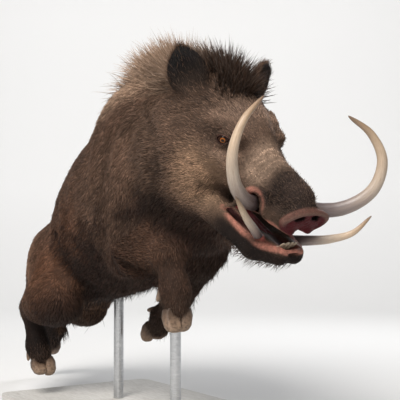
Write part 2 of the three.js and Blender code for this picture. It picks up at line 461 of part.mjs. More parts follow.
// the lower incisors are one piece with the jaw, so they are joined after the cuts
const teeth = [-.020, -.007, .007, .020].map((x) => horn([h(.205, x * .9, -.135), h(.236, x, -.108)], [6, 4.5], 5, 2));

const fleshCut = body.subtract(cuts);
// stand: base and two rods, the rods' tops cut to the belly
const grownFlesh = body.add(solid(grown(fleshMesh, GAP * 2)));
const baseShape = new THREE.Shape();
const bx = BASE.x / 2, by = BASE.y / 2, cr = 40;
baseShape.moveTo(-bx + cr, -by); baseShape.lineTo(bx - cr, -by); baseShape.absarc(bx - cr, -by + cr, cr, -Math.PI / 2, 0);
baseShape.lineTo(bx, by - cr); baseShape.absarc(bx - cr, by - cr, cr, 0, Math.PI / 2);
baseShape.lineTo(-bx + cr, by); baseShape.absarc(-bx + cr, by - cr, cr, Math.PI / 2, Math.PI);
baseShape.lineTo(-bx, -by + cr); baseShape.absarc(-bx + cr, -by + cr, cr, Math.PI, 1.5 * Math.PI);
const baseSolid = solid(outward(fromGeometry(new THREE.ExtrudeGeometry(baseShape, { depth: BASE.z, bevelEnabled: false, curveSegments: 3 }))));
keep('stand_base', baseSolid, MAT.stand);
for (const [name, [x, y, z]] of Object.entries(RODS)) {
  const g = new THREE.CylinderGeometry(ROD_R, ROD_R, z - BASE.z - GAP, 16); g.rotateX(Math.PI / 2); g.translate(x, y, (z + BASE.z + GAP) / 2);
  keep(`stand_rod_${name}`, solid(outward(fromGeometry(g))).subtract(grownFlesh), MAT.rod);
}
for (const [name, m, material] of pieces) keep(name, m, material);
keep('mane', solid(maneMesh).subtract(grownFlesh), MAT.mane);

// parting cuts: [name, block maker, material]; taken one after another, the rest is the thorax
const A = [1, 0, 0];
const legCuts = [];
for (const [n, s, side] of [['R', -1, 'right'], ['L', 1, 'left']]) {
  const ca = J['carpus' + n], el = J['elbow' + n], fe = J['foreFet' + n], to = J['foreToe' + n];
  const st = J['stifle' + n], ho = J['hock' + n], hf = J['hindFet' + n], ht = J['hindToe' + n];
  const bend = (a, b, c) => unit(add(unit(sub(b, a)), unit(sub(c, b))));
  legCuts.push([`foot_fore_${side}`, (g) => limb(ca, bend(el, ca, fe), 260, 105, g).add(limb(fe, unit(sub(to, fe)), 170, 80, g)), MAT.dark]);
  legCuts.push([`foot_hind_${side}`, (g) => limb(ho, bend(st, ho, hf), 230, 95, g).add(limb(lerp(ho, hf, .6), unit(sub(ht, hf)), 220, 72, g)), MAT.dark]);
  legCuts.push([`forearm_${side}`, (g) => limb(add(el, mul(unit(sub(ca, el)), 30)), unit(sub(ca, el)), 260, 105, g), MAT.coat]);
  legCuts.push([`shank_${side}`, (g) => limb(add(st, mul(unit(sub(ho, st)), 60)), unit(sub(ho, st)), 260, 115, g), MAT.coat]);
}
const headParts = [
  ['ear_right', (g) => limb(h(-.142, -.094, .100), unit(sub(h(...EARS[0][3]), h(...EARS[0][2]))), 190, 130, g), MAT.dark],
  ['ear_left', (g) => limb(h(-.121, .094, .105), unit(sub(h(...EARS[1][3]), h(...EARS[1][2]))), 190, 120, g), MAT.dark],
  ['snout', (g) => block(h(.300, 0, -.045), [hdir(0, 1, 0), hdir(1, 0, 0), hdir(0, 0, 1)], [90, 68, 57], g), MAT.skin],
];
const bodyParts = [
  ['tail', (g) => limb(T(-205, 0, 42), unit(sub(T(-285, 0, -60), T(-190, 0, 50))), 300, 62, g), MAT.dark],
];
let rest = fleshCut;
const counts = {};
const take = (name, make, material, extra) => {
  let piece = rest.intersect(make(0)); if (extra) piece = piece.add(extra);
  rest = rest.subtract(make(GAP)); counts[name] = keep(name, piece, material);
};
for (const [name, make, material] of [...legCuts, ...headParts, ...bodyParts]) take(name, make, material);
// lower jaw: everything under the mouth, back to its hinge
let teethSolid = solid(outward(teeth[0])); for (const t of teeth.slice(1)) teethSolid = teethSolid.add(solid(outward(t)));
take('lower_jaw', (g) => block(h(.145, 0, -.222), HEAD_AXES, [110, 145, 121], g), MAT.coat, teethSolid.subtract(cuts));
// head, neck, hindquarters: planes across the body
const span = 1500;
const across = (c, u, g) => limb(c, u, span, span, g);
take('head', (g) => block(add(h(-.135, 0, -.02), mul(hdir(1, 0, .12), 300)), [hdir(0, 1, 0), hdir(1, 0, .12), cross(hdir(0, 1, 0), hdir(1, 0, .12))], [240, 300, 252], g), MAT.coat);
take('neck', (g) => block(add(T(800, 0, 60), mul(FW, 300)), TRUNK_AXES, [330, 300, 340], g), MAT.coat);
for (const [n, s, side] of [['R', -1, 'right'], ['L', 1, 'left']]) {
  const el = J['elbow' + n];
  take(`upper_arm_${side}`, (g) => block(add(T(620, s * 330, 0), [0, 0, 0]), TRUNK_AXES, [175, 185, 520], g), MAT.coat);
  take(`thigh_${side}`, (g) => block(T(-40, s * 280, -150), TRUNK_AXES, [215, 215, 330], g), MAT.coat);
}
take('rump', (g) => across(T(140, 0, 0), mul(FW, -1), g), MAT.coat);
take('abdomen', (g) => across(T(440, 0, 0), mul(FW, -1), g), MAT.coat);
counts.thorax = keep('thorax', rest, MAT.coat);

export default object;
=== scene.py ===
import math
import bpy, bmesh
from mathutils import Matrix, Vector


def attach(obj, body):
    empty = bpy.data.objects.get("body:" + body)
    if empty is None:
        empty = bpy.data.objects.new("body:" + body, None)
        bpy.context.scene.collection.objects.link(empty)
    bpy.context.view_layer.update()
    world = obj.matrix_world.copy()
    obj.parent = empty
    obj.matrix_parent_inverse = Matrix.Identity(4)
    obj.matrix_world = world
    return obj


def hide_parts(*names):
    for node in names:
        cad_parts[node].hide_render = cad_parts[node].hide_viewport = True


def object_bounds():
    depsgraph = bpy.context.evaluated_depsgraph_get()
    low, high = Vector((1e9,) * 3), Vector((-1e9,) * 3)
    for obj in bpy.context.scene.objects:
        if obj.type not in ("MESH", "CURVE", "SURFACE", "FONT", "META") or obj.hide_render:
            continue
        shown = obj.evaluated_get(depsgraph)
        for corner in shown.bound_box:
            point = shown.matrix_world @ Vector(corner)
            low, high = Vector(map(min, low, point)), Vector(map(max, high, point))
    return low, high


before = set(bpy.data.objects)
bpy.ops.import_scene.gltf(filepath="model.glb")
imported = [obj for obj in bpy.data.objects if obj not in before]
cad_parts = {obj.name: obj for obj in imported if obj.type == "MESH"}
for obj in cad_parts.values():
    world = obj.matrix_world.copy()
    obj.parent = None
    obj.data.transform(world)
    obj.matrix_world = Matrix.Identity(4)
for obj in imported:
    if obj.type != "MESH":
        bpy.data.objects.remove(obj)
from concurrent.futures import ThreadPoolExecutor
import numpy as np
from mathutils import Matrix, Vector

# A life-size wild boar in mid leap on a display stand: one skin over the whole body, a coat and a mane
# of solid tufts, eyes, tusks, teeth, tongue and hooves. Metres; the boar faces -Y, X is its left, Z is up.
CAD_BOX = [list(map(float, v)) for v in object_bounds()]

# ------------------------------------------------------------------ camera
D2R = math.pi / 180
CAM_AZ, CAM_EL, CAM_DIST, CAM_AT = -33.5, -2.9, 2.448, (0.0256, -0.184, 0.646)
back = Vector((math.sin(CAM_AZ * D2R) * math.cos(CAM_EL * D2R), -math.cos(CAM_AZ * D2R) * math.cos(CAM_EL * D2R), math.sin(CAM_EL * D2R)))
cam_data = bpy.data.cameras.new("camera")
cam_data.lens, cam_data.sensor_width, cam_data.clip_end = 77.58, 36.0, 60.0
cam = bpy.data.objects.new("camera", cam_data)
cam.location = Vector(CAM_AT) + back * CAM_DIST
cam.rotation_euler = back.to_track_quat("Z", "Y").to_euler()
bpy.context.scene.collection.objects.link(cam)
bpy.context.scene.camera = cam

# ------------------------------------------------------------------ small tools
V = lambda *a: np.array(a, float)
unit = lambda a: a / np.linalg.norm(a)
rows = lambda a: a / np.maximum(np.linalg.norm(a, axis=1, keepdims=True), 1e-12)
lerp = lambda a, b, t: a * (1 - t) + b * t
def step(a, b, x):
    t = np.clip((x - a) / (b - a), 0, 1)
    return t * t * (3 - 2 * t)
def waves(P, size, seed, n=18):
    """A smooth, even noise from -1 to 1: a sum of plane waves of about one size."""
    r = np.random.default_rng(seed)
    k = rows(r.normal(size=(n, 3))) * (2 * math.pi / size) * r.uniform(.55, 1.6, (n, 1))
    return np.clip(np.sin(P @ k.T + r.uniform(0, 6.28, n)).sum(1) / math.sqrt(n) * 1.1, -1, 1)
def smin(a, b, k):
    t = np.maximum(k - np.abs(a - b), 0) / k
    return np.minimum(a, b) - t * t * k / 4
def smax(a, b, k): return -smin(-a, -b, k)

# ------------------------------------------------------------------ skeleton
HIP, PITCH, S = V(0, .500, .472), 24 * D2R, 1.10          # S scales the head's own units
HEAD_AT = V(-.045, -.487, .760)
HEAD_TURN, HEAD_PITCH, HEAD_ROLL = 3.5, 31, -4
BONE = dict(femur=.225, tibia=.215, hock=.130, hind_toe=.095, humerus=.220, radius=.180, cannon=.110, fore_toe=.090)
POSE = dict(hR=(53, -79, 18, 42, 20), hL=(-22, -86, -46, -24, -8), fR=(-30, 87, 20, 8, -5), fL=(-25, -36, -50, -48, -11))
FW, UP, XX = V(0, -math.cos(PITCH), math.sin(PITCH)), V(0, math.sin(PITCH), math.cos(PITCH)), V(1, 0, 0)
def T(a, x, t): return HIP + FW * a + XX * x + UP * t
def swing(L, th, ab, s):
    th, ab = th * D2R, ab * D2R
    return V(s * L * math.sin(ab), -L * math.sin(th) * math.cos(ab), -L * math.cos(th) * math.cos(ab))
def turn(ax, d):
    c, s = math.cos(d * D2R), math.sin(d * D2R)
    return np.array({"x": [[1, 0, 0], [0, c, -s], [0, s, c]], "y": [[c, 0, s], [0, 1, 0], [-s, 0, c]], "z": [[c, -s, 0], [s, c, 0], [0, 0, 1]]}[ax], float)
RH = turn("z", HEAD_TURN) @ turn("x", HEAD_PITCH) @ turn("y", HEAD_ROLL)
def h(f, x, z): return HEAD_AT + RH @ (V(x, -f, z) * S)      # head units: forward, left, up
def hdir(f, x, z): return unit(RH @ V(x, -f, z))
HAX = np.stack([hdir(0, 1, 0), hdir(1, 0, 0), hdir(0, 0, 1)], 1)
TAX = np.stack([XX, FW, UP], 1)
def ball(points, grow):
    c = np.mean(points, 0); return c, max(np.linalg.norm(p - c) for p in points) + grow
def head_units(P):
    q = (P - HEAD_AT) @ HAX / S
    return q[:, 1], q[:, 0], q[:, 2]                         # f, x, z
J = {}
for n, s in (("R", -1), ("L", 1)):
    f, t, m, d, ab = POSE["h" + n]
    J["hip" + n] = T(0, s * .095, 0 if s < 0 else .03)
    J["sti" + n] = J["hip" + n] + swing(BONE["femur"], f, ab, s)
    J["hoc" + n] = J["sti" + n] + swing(BONE["tibia"], t, 0, s)
    J["hfe" + n] = J["hoc" + n] + swing(BONE["hock"], m, 0, s)
    J["hto" + n] = J["hfe" + n] + swing(BONE["hind_toe"], d, 0, s)
    a, r, m, d, ab = POSE["f" + n]
    J["sho" + n] = T(.70, s * .13, -.06)
    J["elb" + n] = J["sho" + n] + swing(BONE["humerus"], a, ab, s)
    J["car" + n] = J["elb" + n] + swing(BONE["radius"], r, 0, s)
    J["ffe" + n] = J["car" + n] + swing(BONE["cannon"], m, 0, s)
    J["fto" + n] = J["ffe" + n] + swing(BONE["fore_toe"], d, 0, s)

# ------------------------------------------------------------------ distance fields
POOL = ThreadPoolExecutor(4)
def shared(field, part=12000):
    """The same field, worked out in parts on all cores."""
    def f(P):
        if len(P) <= part: return field(P)
        return np.concatenate(list(POOL.map(field, np.array_split(P, -(-len(P) // part)))))
    return f
def within(field, c, radius, margin=.17):
    """The field near a ball that holds its shape; further off, just the distance to the ball."""
    def f(P):
        q = P - c; r = np.sqrt(np.einsum("ij,ij->i", q, q)); m = r < radius + margin
        d = r - radius
        if m.any(): d[m] = field(P[m]) if not m.all() else field(P)
        return d
    return f
def cone(a, b, r1, r2):
    ba = b - a; l2 = ba @ ba; rr = r1 - r2; a2 = l2 - rr * rr; il2 = 1 / l2
    def f(P):
        pa = P - a; y = pa @ ba; z = y - l2; x = pa * l2 - y[:, None] * ba
        x2 = np.einsum("ij,ij->i", x, x); y2 = y * y * l2; z2 = z * z * l2; k = np.sign(rr) * rr * rr * x2
        d = (np.sqrt(np.maximum(x2 * a2 * il2, 0)) + y * rr) * il2 - r1
        c1 = np.sign(z) * a2 * z2 > k; c2 = (~c1) & (np.sign(y) * a2 * y2 < k)
        return np.where(c1, np.sqrt(x2 + z2) * il2 - r2, np.where(c2, np.sqrt(x2 + y2) * il2 - r1, d))
    return f
def egg(c, r, ax=np.eye(3)):
    r = np.array(r, float)
    def f(P):
        q = (P - c) @ ax; k0 = np.linalg.norm(q / r, axis=1); k1 = np.linalg.norm(q / r ** 2, axis=1)
        return k0 * (k0 - 1) / np.maximum(k1, 1e-9)
    return f
def blend(L):
    def f(P):
        d = L[0][0](P)
        for g in L[1:]: d = smin(d, g[0](P), g[1])
        return d
    return f
def trunk(a, x, t, ra, rx, rt): return egg(T(a, x, t), (rx, ra, rt), TAX)
def hegg(f, x, z, rf, rx, rz): return egg(h(f, x, z), (rx * S, rf * S, rz * S), HAX)
def hcone(a, b, r1, r2): return cone(h(*a), h(*b), r1 * S, r2 * S)
def hchain(points, radii):
    return [hcone(a, b, r, q) for a, b, r, q in zip(points[:-1], points[1:], radii[:-1], radii[1:])]

TRUNK = blend([(trunk(-.03, 0, .005, .175, .135, .160),), (trunk(.20, 0, 0, .28, .195, .187), .10), (trunk(.43, 0, .005, .31, .245, .255), .12),
               (trunk(.60, 0, .115, .25, .165, .215), .10), (trunk(.74, 0, -.10, .20, .165, .19), .10)])
BELLY = cone(T(.12, 0, -.145), T(.30, 0, -.18), .046, .040)
NECK = blend([(cone(T(.70, 0, .02), h(-.13, 0, -.02), .215, .15),), (cone(T(.60, 0, .165), h(-.15, 0, .045), .135, .085), .08),
              (cone(T(.78, 0, -.08), h(-.11, 0, -.11), .155, .10), .08)])
TAIL = blend([(cone(T(-.16, 0, .07), T(-.27, 0, -.02), .026, .015),), (cone(T(-.27, 0, -.02), T(-.30, .01, -.15), .015, .020), .02)])
def fore(n, s):
    sh, el, ca, fe, to = [J[k + n] for k in ("sho", "elb", "car", "ffe", "fto")]
    return blend([(egg(T(.64, s * .145, .02), (.075, .12, .20), TAX),), (cone(sh, el, .105, .085), .07), (cone(T(.56, s * .135, -.03), el, .085, .074), .07),
                  (cone(el, ca, .078, .047), .05), (cone(lerp(el, ca, .15) + V(0, 0, .02), lerp(el, ca, .6) + V(0, 0, .012), .064, .05), .04),
                  (cone(ca, fe, .045, .037), .03), (cone(fe, lerp(fe, to, .5), .042, .037), .03)])
def hind(n, s):
    hi, st, ho, fe, to = [J[k + n] for k in ("hip", "sti", "hoc", "hfe", "hto")]; w = 1 if n == "R" else .8
    return blend([(cone(hi, st, .115 * w, .074 * w),), (cone(T(-.11, s * .08, -.02), lerp(st, ho, .3), .09 * w, .06 * w), .08), (cone(st, ho, .072 * w, .043), .06),
                  (cone(lerp(st, ho, .1) + V(0, .03, 0), lerp(st, ho, .5) + V(0, .02, 0), .066 * w, .052 * w), .05),
                  (cone(ho, fe, .043, .035), .03), (cone(fe, lerp(fe, to, .5), .040, .036), .03)])
FORE = {n: within(fore(n, s), *ball([T(.64, s * .145, .15), J["elb" + n], J["fto" + n], J["sho" + n]], .13)) for n, s in (("R", -1), ("L", 1))}
HIND = {n: within(hind(n, s), *ball([J["hip" + n], J["sti" + n], J["hto" + n], T(-.11, s * .08, -.02)], .13)) for n, s in (("R", -1), ("L", 1))}
LOWS = [within(blend([(cone(J[a + n], J[b + n], .03, .03), .02) for a, b in L]), *ball([J[L[0][0] + n], J[L[1][1] + n]], .05)) for n in "RL" for L in ((("car", "ffe"), ("ffe", "fto")), (("hoc", "hfe"), ("hfe", "hto")))]
def LOW(P): return np.min([g(P) for g in LOWS], 0)
SKULL = [(hegg(-.085, 0, .02, .125, .10, .095),), (hcone((-.11, 0, .065), (.035, 0, .035), .058, .045), .055), (hcone((.02, 0, -.035), (.20, 0, -.035), .068, .043), .05),
         (hcone((.03, 0, .015), (.225, 0, -.008), .034, .027), .04)]
JAW = []
for s in (-1, 1):
    SKULL += [(hegg(.145, s * .046, -.045, .052, .034, .034), .03), (hegg(-.08, s * .085, -.05, .10, .058, .105), .05),
              (hcone((-.06, s * .10, .01), (.05, s * .068, -.01), .03, .022), .03), (hcone((-.03, s * .080, .062), (.045, s * .058, .048), .020, .015), .028),
              (hegg(-.145, s * .10, -.085, .095, .062, .12), .06)]
    JAW += [(hcone((-.09, s * .06, -.09), (-.05, s * .058, -.135), .050, .048), .04), (hcone((-.05, s * .058, -.135), (.17, s * .036, -.152), .046, .030), .04),
            (hcone((.17, s * .036, -.152), (.236, s * .020, -.138), .030, .023), .02)]
JAW.append((hcone((-.02, 0, -.158), (.205, 0, -.152), .034, .022), .025))
SKULL, JAW = within(blend(SKULL), h(.02, 0, -.03), .33), within(blend(JAW), h(.08, 0, -.13), .24)
def tipped(P):
    """The disc's own frame: across, along its tilted plane, and out of it."""
    f, x, z = head_units(P); c, s_ = math.cos(DISC_TILT), math.sin(DISC_TILT); a, b = f - DISC_AT[0], z - DISC_AT[1]
    return x, b * c + a * s_, a * c - b * s_
DISC_AT, DISC_TILT, DISC_W, DISC_H = (.247, -.044), .34, .0610, .0330
def DISC(P):
    x, v, o = tipped(P); r = V(DISC_W, DISC_H, .0135); q = np.stack([x, v, o], 1)
    k0 = np.linalg.norm(q / r, axis=1); k1 = np.linalg.norm(q / r ** 2, axis=1); return k0 * (k0 - 1) / np.maximum(k1, 1e-9) * S
MOUTH = blend([(hcone((.085, 0, -.112), (.26, 0, -.100), .012, .029),), (hcone((.075, -.05, -.112), (.26, -.05, -.100), .009, .028), .012),
               (hcone((.075, .05, -.112), (.26, .05, -.100), .009, .028), .012)])
TONGUE = blend([(hcone((.06, 0, -.140), (.15, 0, -.142), .024, .018),), (hegg(.178, 0, -.134, .032, .021, .008), .012)])
EARS = {"R": (-1, (-.118, -.083, .075), (-.190, -.112, .170)), "L": (1, (-.11, .082, .085), (-.150, .125, .155))}
def ear_frame(n):
    s, b, t = EARS[n]; a, b = h(*b), h(*t); u = unit(b - a); L = np.linalg.norm(b - a)
    m = hdir(.75, s * .65, .1); m = unit(m - u * (m @ u))
    return a, b, u, m, np.cross(u, m), L
def ear(n):
    a, b, u, m, w, L = ear_frame(n); c = lerp(a, b, .42); r = (.086, L * .64, .028); ax = np.stack([w, u, m], 1)
    A, B, C = egg(c + w * .032, r, ax), egg(c - w * .032, r, ax), egg(c + m * .040, (.046, L * .5, .030), ax)
    return lambda P: smax(smax(A(P), B(P), .008), -C(P), .008)
EAR = {n: within(ear(n), lerp(h(*EARS[n][1]), h(*EARS[n][2]), .5), .13) for n in EARS}
TAIL = within(TAIL, T(-.25, 0, -.05), .17)
DISC = within(DISC, h(.25, 0, -.042), .06)

# ------------------------------------------------------------------ the head's folds, lids, lips and nostrils
EYE_R = .0155
EYES = {}
for n, s in (("R", -1), ("L", 1)):
    c = h(.019, s * .078, .033); ax = hdir(.45, s * .88, .10)
    along = hdir(.050, -s * .010, .010); along = unit(along - ax * (along @ ax))       # towards the inner corner
    EYES[n] = (c, ax, along, np.cross(along, ax) * s)
def eye_coords(P, n):
    c, ax, along, up = EYES[n]; q = P - c
    return q @ along, q @ up, q @ ax, np.linalg.norm(q, axis=1)
def lid_gap(a, b):
    """Below 0 inside the opening between the lids: long towards the inner corner, slanting down to it."""
    w = np.where(a > 0, .0178, .0142); top = .0098 * np.clip(1 - (a / w) ** 2, 0, 1) ** .62 - .0012; low = -.0086 * np.clip(1 - (a / w) ** 2, 0, 1) ** .75
    return np.where(np.abs(a) > w, np.abs(a) - w + .001, np.maximum(b - top, low - b))
LOWER_LIP = [(.050, .064, -.124), (.100, .066, -.122), (.150, .060, -.131), (.190, .053, -.136), (.228, .040, -.125), (.252, .021, -.120), (.260, 0, -.114)]
LOWER_LIP_R = [.0040, .0046, .0052, .0054, .0054, .0054, .0054]
UPPER_LIP = [(.050, .064, -.124), (.082, .069, -.102), (.106, .071, -.084), (.118, .072, -.062), (.130, .072, -.042), (.145, .070, -.026), (.162, .064, -.018), (.178, .061, -.020),
             (.190, .060, -.033), (.194, .060, -.050), (.196, .056, -.062), (.208, .047, -.069), (.230, .037, -.072), (.250, .024, -.073)]
UPPER_LIP_R = [.0042, .0044, .0046, .0048, .0052, .0056, .0058, .0058, .0056, .0054, .0052, .0050, .0047, .0042]
SIDED = lambda L, s: [(f, s * x, z) for f, x, z in L]
LIP_TUBES = {s: (hchain(SIDED(LOWER_LIP, s), LOWER_LIP_R), hchain(SIDED(UPPER_LIP, s), UPPER_LIP_R)) for s in (-1, 1)}
POCKET = {s: hcone((.158, s * .040, -.054), (.163, s * .105, -.046), .019, .024) for s in (-1, 1)}
CURTAIN = {s: hcone((.200, s * .042, -.050), (.238, s * .026, -.054), .017, .016) for s in (-1, 1)}
GUM = {s: hcone((.170, s * .030, -.144), (.181, s * .040, -.133), .021, .0165) for s in (-1, 1)}
FRONT_GUM = hcone((.214, -.020, -.147), (.214, .020, -.147), .017, .017)
NOSTRIL = {s: blend([(hcone((.225, s * .014, -.020), (.272, s * .017, -.036), .004, .0075),), (hcone((.225, s * .024, -.022), (.270, s * .028, -.040), .003, .0062), .008)]) for s in (-1, 1)}
GROOVES = [((.100, .060, .012), (.205, .046, -.034), .008, .0050), ((.060, .066, -.010), (.115, .078, -.060), .010, .0035), ((-.010, .098, -.070), (.045, .074, -.115), .012, .0035),
           ((.010, .070, .062), (.050, .040, .052), .009, .0035), ((.205, .052, -.050), (.232, .036, -.012), .005, .0022), ((.190, .050, -.030), (.214, .034, .000), .005, .0018)]
def near_head(P):
    f, x, z = head_units(P)
    return (f > -.14) & (f < .31) & (np.abs(x) < .14) & (z > -.23) & (z < .17)
def tubes(L, P): return np.min([g(P) for g in L], 0)
def face(d, P):
    """The head's own detail on top of its plain form; d and the answer are distances at P."""
    f, x, z = head_units(P); s = np.where(x < 0, -1.0, 1.0); ax = np.abs(x); d = d.copy()
    for a, b, w, deep in GROOVES:                                   # mirrored folds
        for q in (-1, 1):
            m = x * q > -.02; g = cone(h(a[0], q * a[1], a[2]), h(b[0], q * b[1], b[2]), 1e-4, 1.1e-4)(P[m])
            d[m] += deep * np.exp(-(g / w) ** 2)
    fold = step(.075, .115, f) * (1 - step(.20, .235, f)) * step(-.045, -.01, z)      # creases across the muzzle
    d += .0011 * fold * np.sin(f * 2 * math.pi / .0175 + 5 * ax / .1 + waves(P, .05, 3) * 1.2)
    fine = step(.18, .22, f)
    d += .0007 * fine * waves(P, .008, 5)
    tx, tv, to_ = tipped(P); rr_ = np.hypot(tx / (DISC_W * .93), tv / (DISC_H * .90)); thick = .0050 + .0022 * step(-.010, .022, tv)
    ring = np.hypot((rr_ - 1) * .036, to_ - .0085) * S - thick
    d = smin(d, ring, .007)
    d = d + .0022 * np.exp(-(tx / .0035) ** 2) * step(.004, -.02, tv) * (np.abs(to_) < .03) * (f > .22)
    for q in (-1, 1):
        m = (x * q > -.03) & (f > .02) & (z < .02)
        if not m.any(): continue
        Q = P[m]; e = smin(d[m], CURTAIN[q](Q), .012); e = smin(e, tubes(LIP_TUBES[q][1], Q), .016)
        e = smax(e, -POCKET[q](Q), .006)
        d[m] = smax(e, -NOSTRIL[q](Q), .004)
    for n in ("R", "L"):
        a, b, c, r = eye_coords(P, n); near = r < .075
        if not near.any(): continue
        a, b, c, r = a[near], b[near], c[near], r[near]; e = d[near]; rad = np.hypot(a * .85, b)
        front = step(-.012, .004, c)
        e = e + front * .0012 * np.exp(-((rad - .027) / .008) ** 2)                     # the socket's hollow
        lid = r - (EYE_R + .0024); e = smin(e, smax(lid, -(c + .002), .004), .012)
        under = (b < .002) * front
        for k, r0 in enumerate((.0235, .0295, .0365)):
            e = e + (.0013 - .0002 * k) * under * np.exp(-((rad - r0) / .0019) ** 2)
        e = e + .0016 * (b > .002) * front * np.exp(-((rad - .0225) / .0020) ** 2)
        for k, slope in enumerate((-.75, -.25, .3)):                                    # crow's feet behind the eye
            line = np.abs(b - slope * (a + .018)); e = e + .0010 * front * np.exp(-(line / .0016) ** 2) * (a < -.018) * (a > -.045)
        gap = lid_gap(a, b); e = smax(e, -np.maximum(gap, .0055 - c), .0010)
        d[near] = e
    return d

# the coat's depth: how far under the coat's tips the skin lies
def head_depth(P):
    f, x, z = head_units(P)
    return .0035 + .0095 * (1 - step(-.10, .09, f)) - .0020 * step(.10, .22, f)
def leg_depth(P): return .0045 + .0085 * step(.02, .11, LOW(P))
def form(P, skin=True):
    """Distance to the skin, or with skin False to the coat's tips, the outline of the CAD flesh."""
    k = 1.0 if skin else 0.0
    d = smin(TRUNK(P), BELLY(P), .06) + k * .015
    d = smin(d, NECK(P) + k * .017, .10)
    leg = k * leg_depth(P)
    for n in "RL": d = smin(d, HIND[n](P) + leg, .065)
    for n in "RL": d = smin(d, FORE[n](P) + leg, .06)
    hd = k * head_depth(P)
    d = smin(d, smin(SKULL(P) + hd, JAW(P) + hd, .026), .055)
    d = smin(d, DISC(P), .016)
    for n in "RL": d = smin(d, EAR[n](P) + k * .0015, .022)
    d = smin(d, TAIL(P) + k * .004, .02)
    return d
# the folds between the muscles: their points, width, depth in metres, and how much painted shade they lay into the coat
CREASES = [([(-.188, -.214, .895), (-.233, -.335, .798), (-.228, -.338, .721), (-.203, -.306, .647), (-.152, -.286, .584), (-.092, -.314, .537)], .024, .026, .72),
           ([(-.236, -.093, .809), (-.248, -.080, .698), (-.234, -.048, .602), (-.212, -.031, .504), (-.195, -.059, .454)], .028, .019, .50),
           ([(-.223, -.124, .581), (-.204, -.190, .586), (-.176, -.250, .595), (-.146, -.291, .579)], .020, .026, .72),
           ([(-.202, -.073, .471), (-.138, -.129, .435)], .018, .018, .70),
           ([(-.218, .287, .534), (-.195, .292, .455), (-.174, .247, .378), (-.098, .276, .333)], .024, .024, .62)]
def crease(P, which):
    """How deep the folds between the muscles press at a point, in metres; or, with which 1, how much painted shade they
    lay into the coat's colour.
    """
    out = np.zeros(len(P)); Q = P * V(-1, 1, 1)
    for pts, w, deep, dark in CREASES:
        c, r = ball([V(*p) for p in pts], w * 2.6)
        for M in (P, Q):
            q = M - c; m = np.einsum("ij,ij->i", q, q) < r * r
            if not m.any(): continue
            g = np.min([cone(V(*a), V(*b), 1e-4, 1.1e-4)(M[m]) for a, b in zip(pts[:-1], pts[1:])], 0)
            k = np.exp(-(g / w) ** 2); out[m] = np.maximum(out[m], k * (dark if which else deep))
    return out
def skin(P):
    d = form(P) + crease(P, 0)
    m = (np.abs(d) < .05) & (P[:, 2] > .30)
    if m.any():                                                     # the low relief of the muscles under the hide
        f, x, z = head_units(P[m]); d[m] += .0042 * waves(P[m] * V(1, 1, .55), .105, 41, 8) * step(-.12, -.26, f)
    near = near_head(P)
    if near.any():
        Q = P[near]; e = face(d[near], Q)
        f, x, z = head_units(Q); lip = np.full(len(Q), .1); m = (f > .02) & (z < -.08)
        if m.any(): lip[m] = np.minimum(tubes(LIP_TUBES[-1][0], Q[m]), tubes(LIP_TUBES[1][0], Q[m]))
        e = smin(e, lip, .014)
        e = smax(e, -MOUTH(Q), .006)
        e = smin(e, lip + .0012, .006)
        m = (f > .10) & (z < -.09)
        if m.any(): e[m] = smin(e[m], np.minimum(np.minimum(GUM[-1](Q[m]), GUM[1](Q[m])), FRONT_GUM(Q[m])), .007)
        d[near] = e
    return d

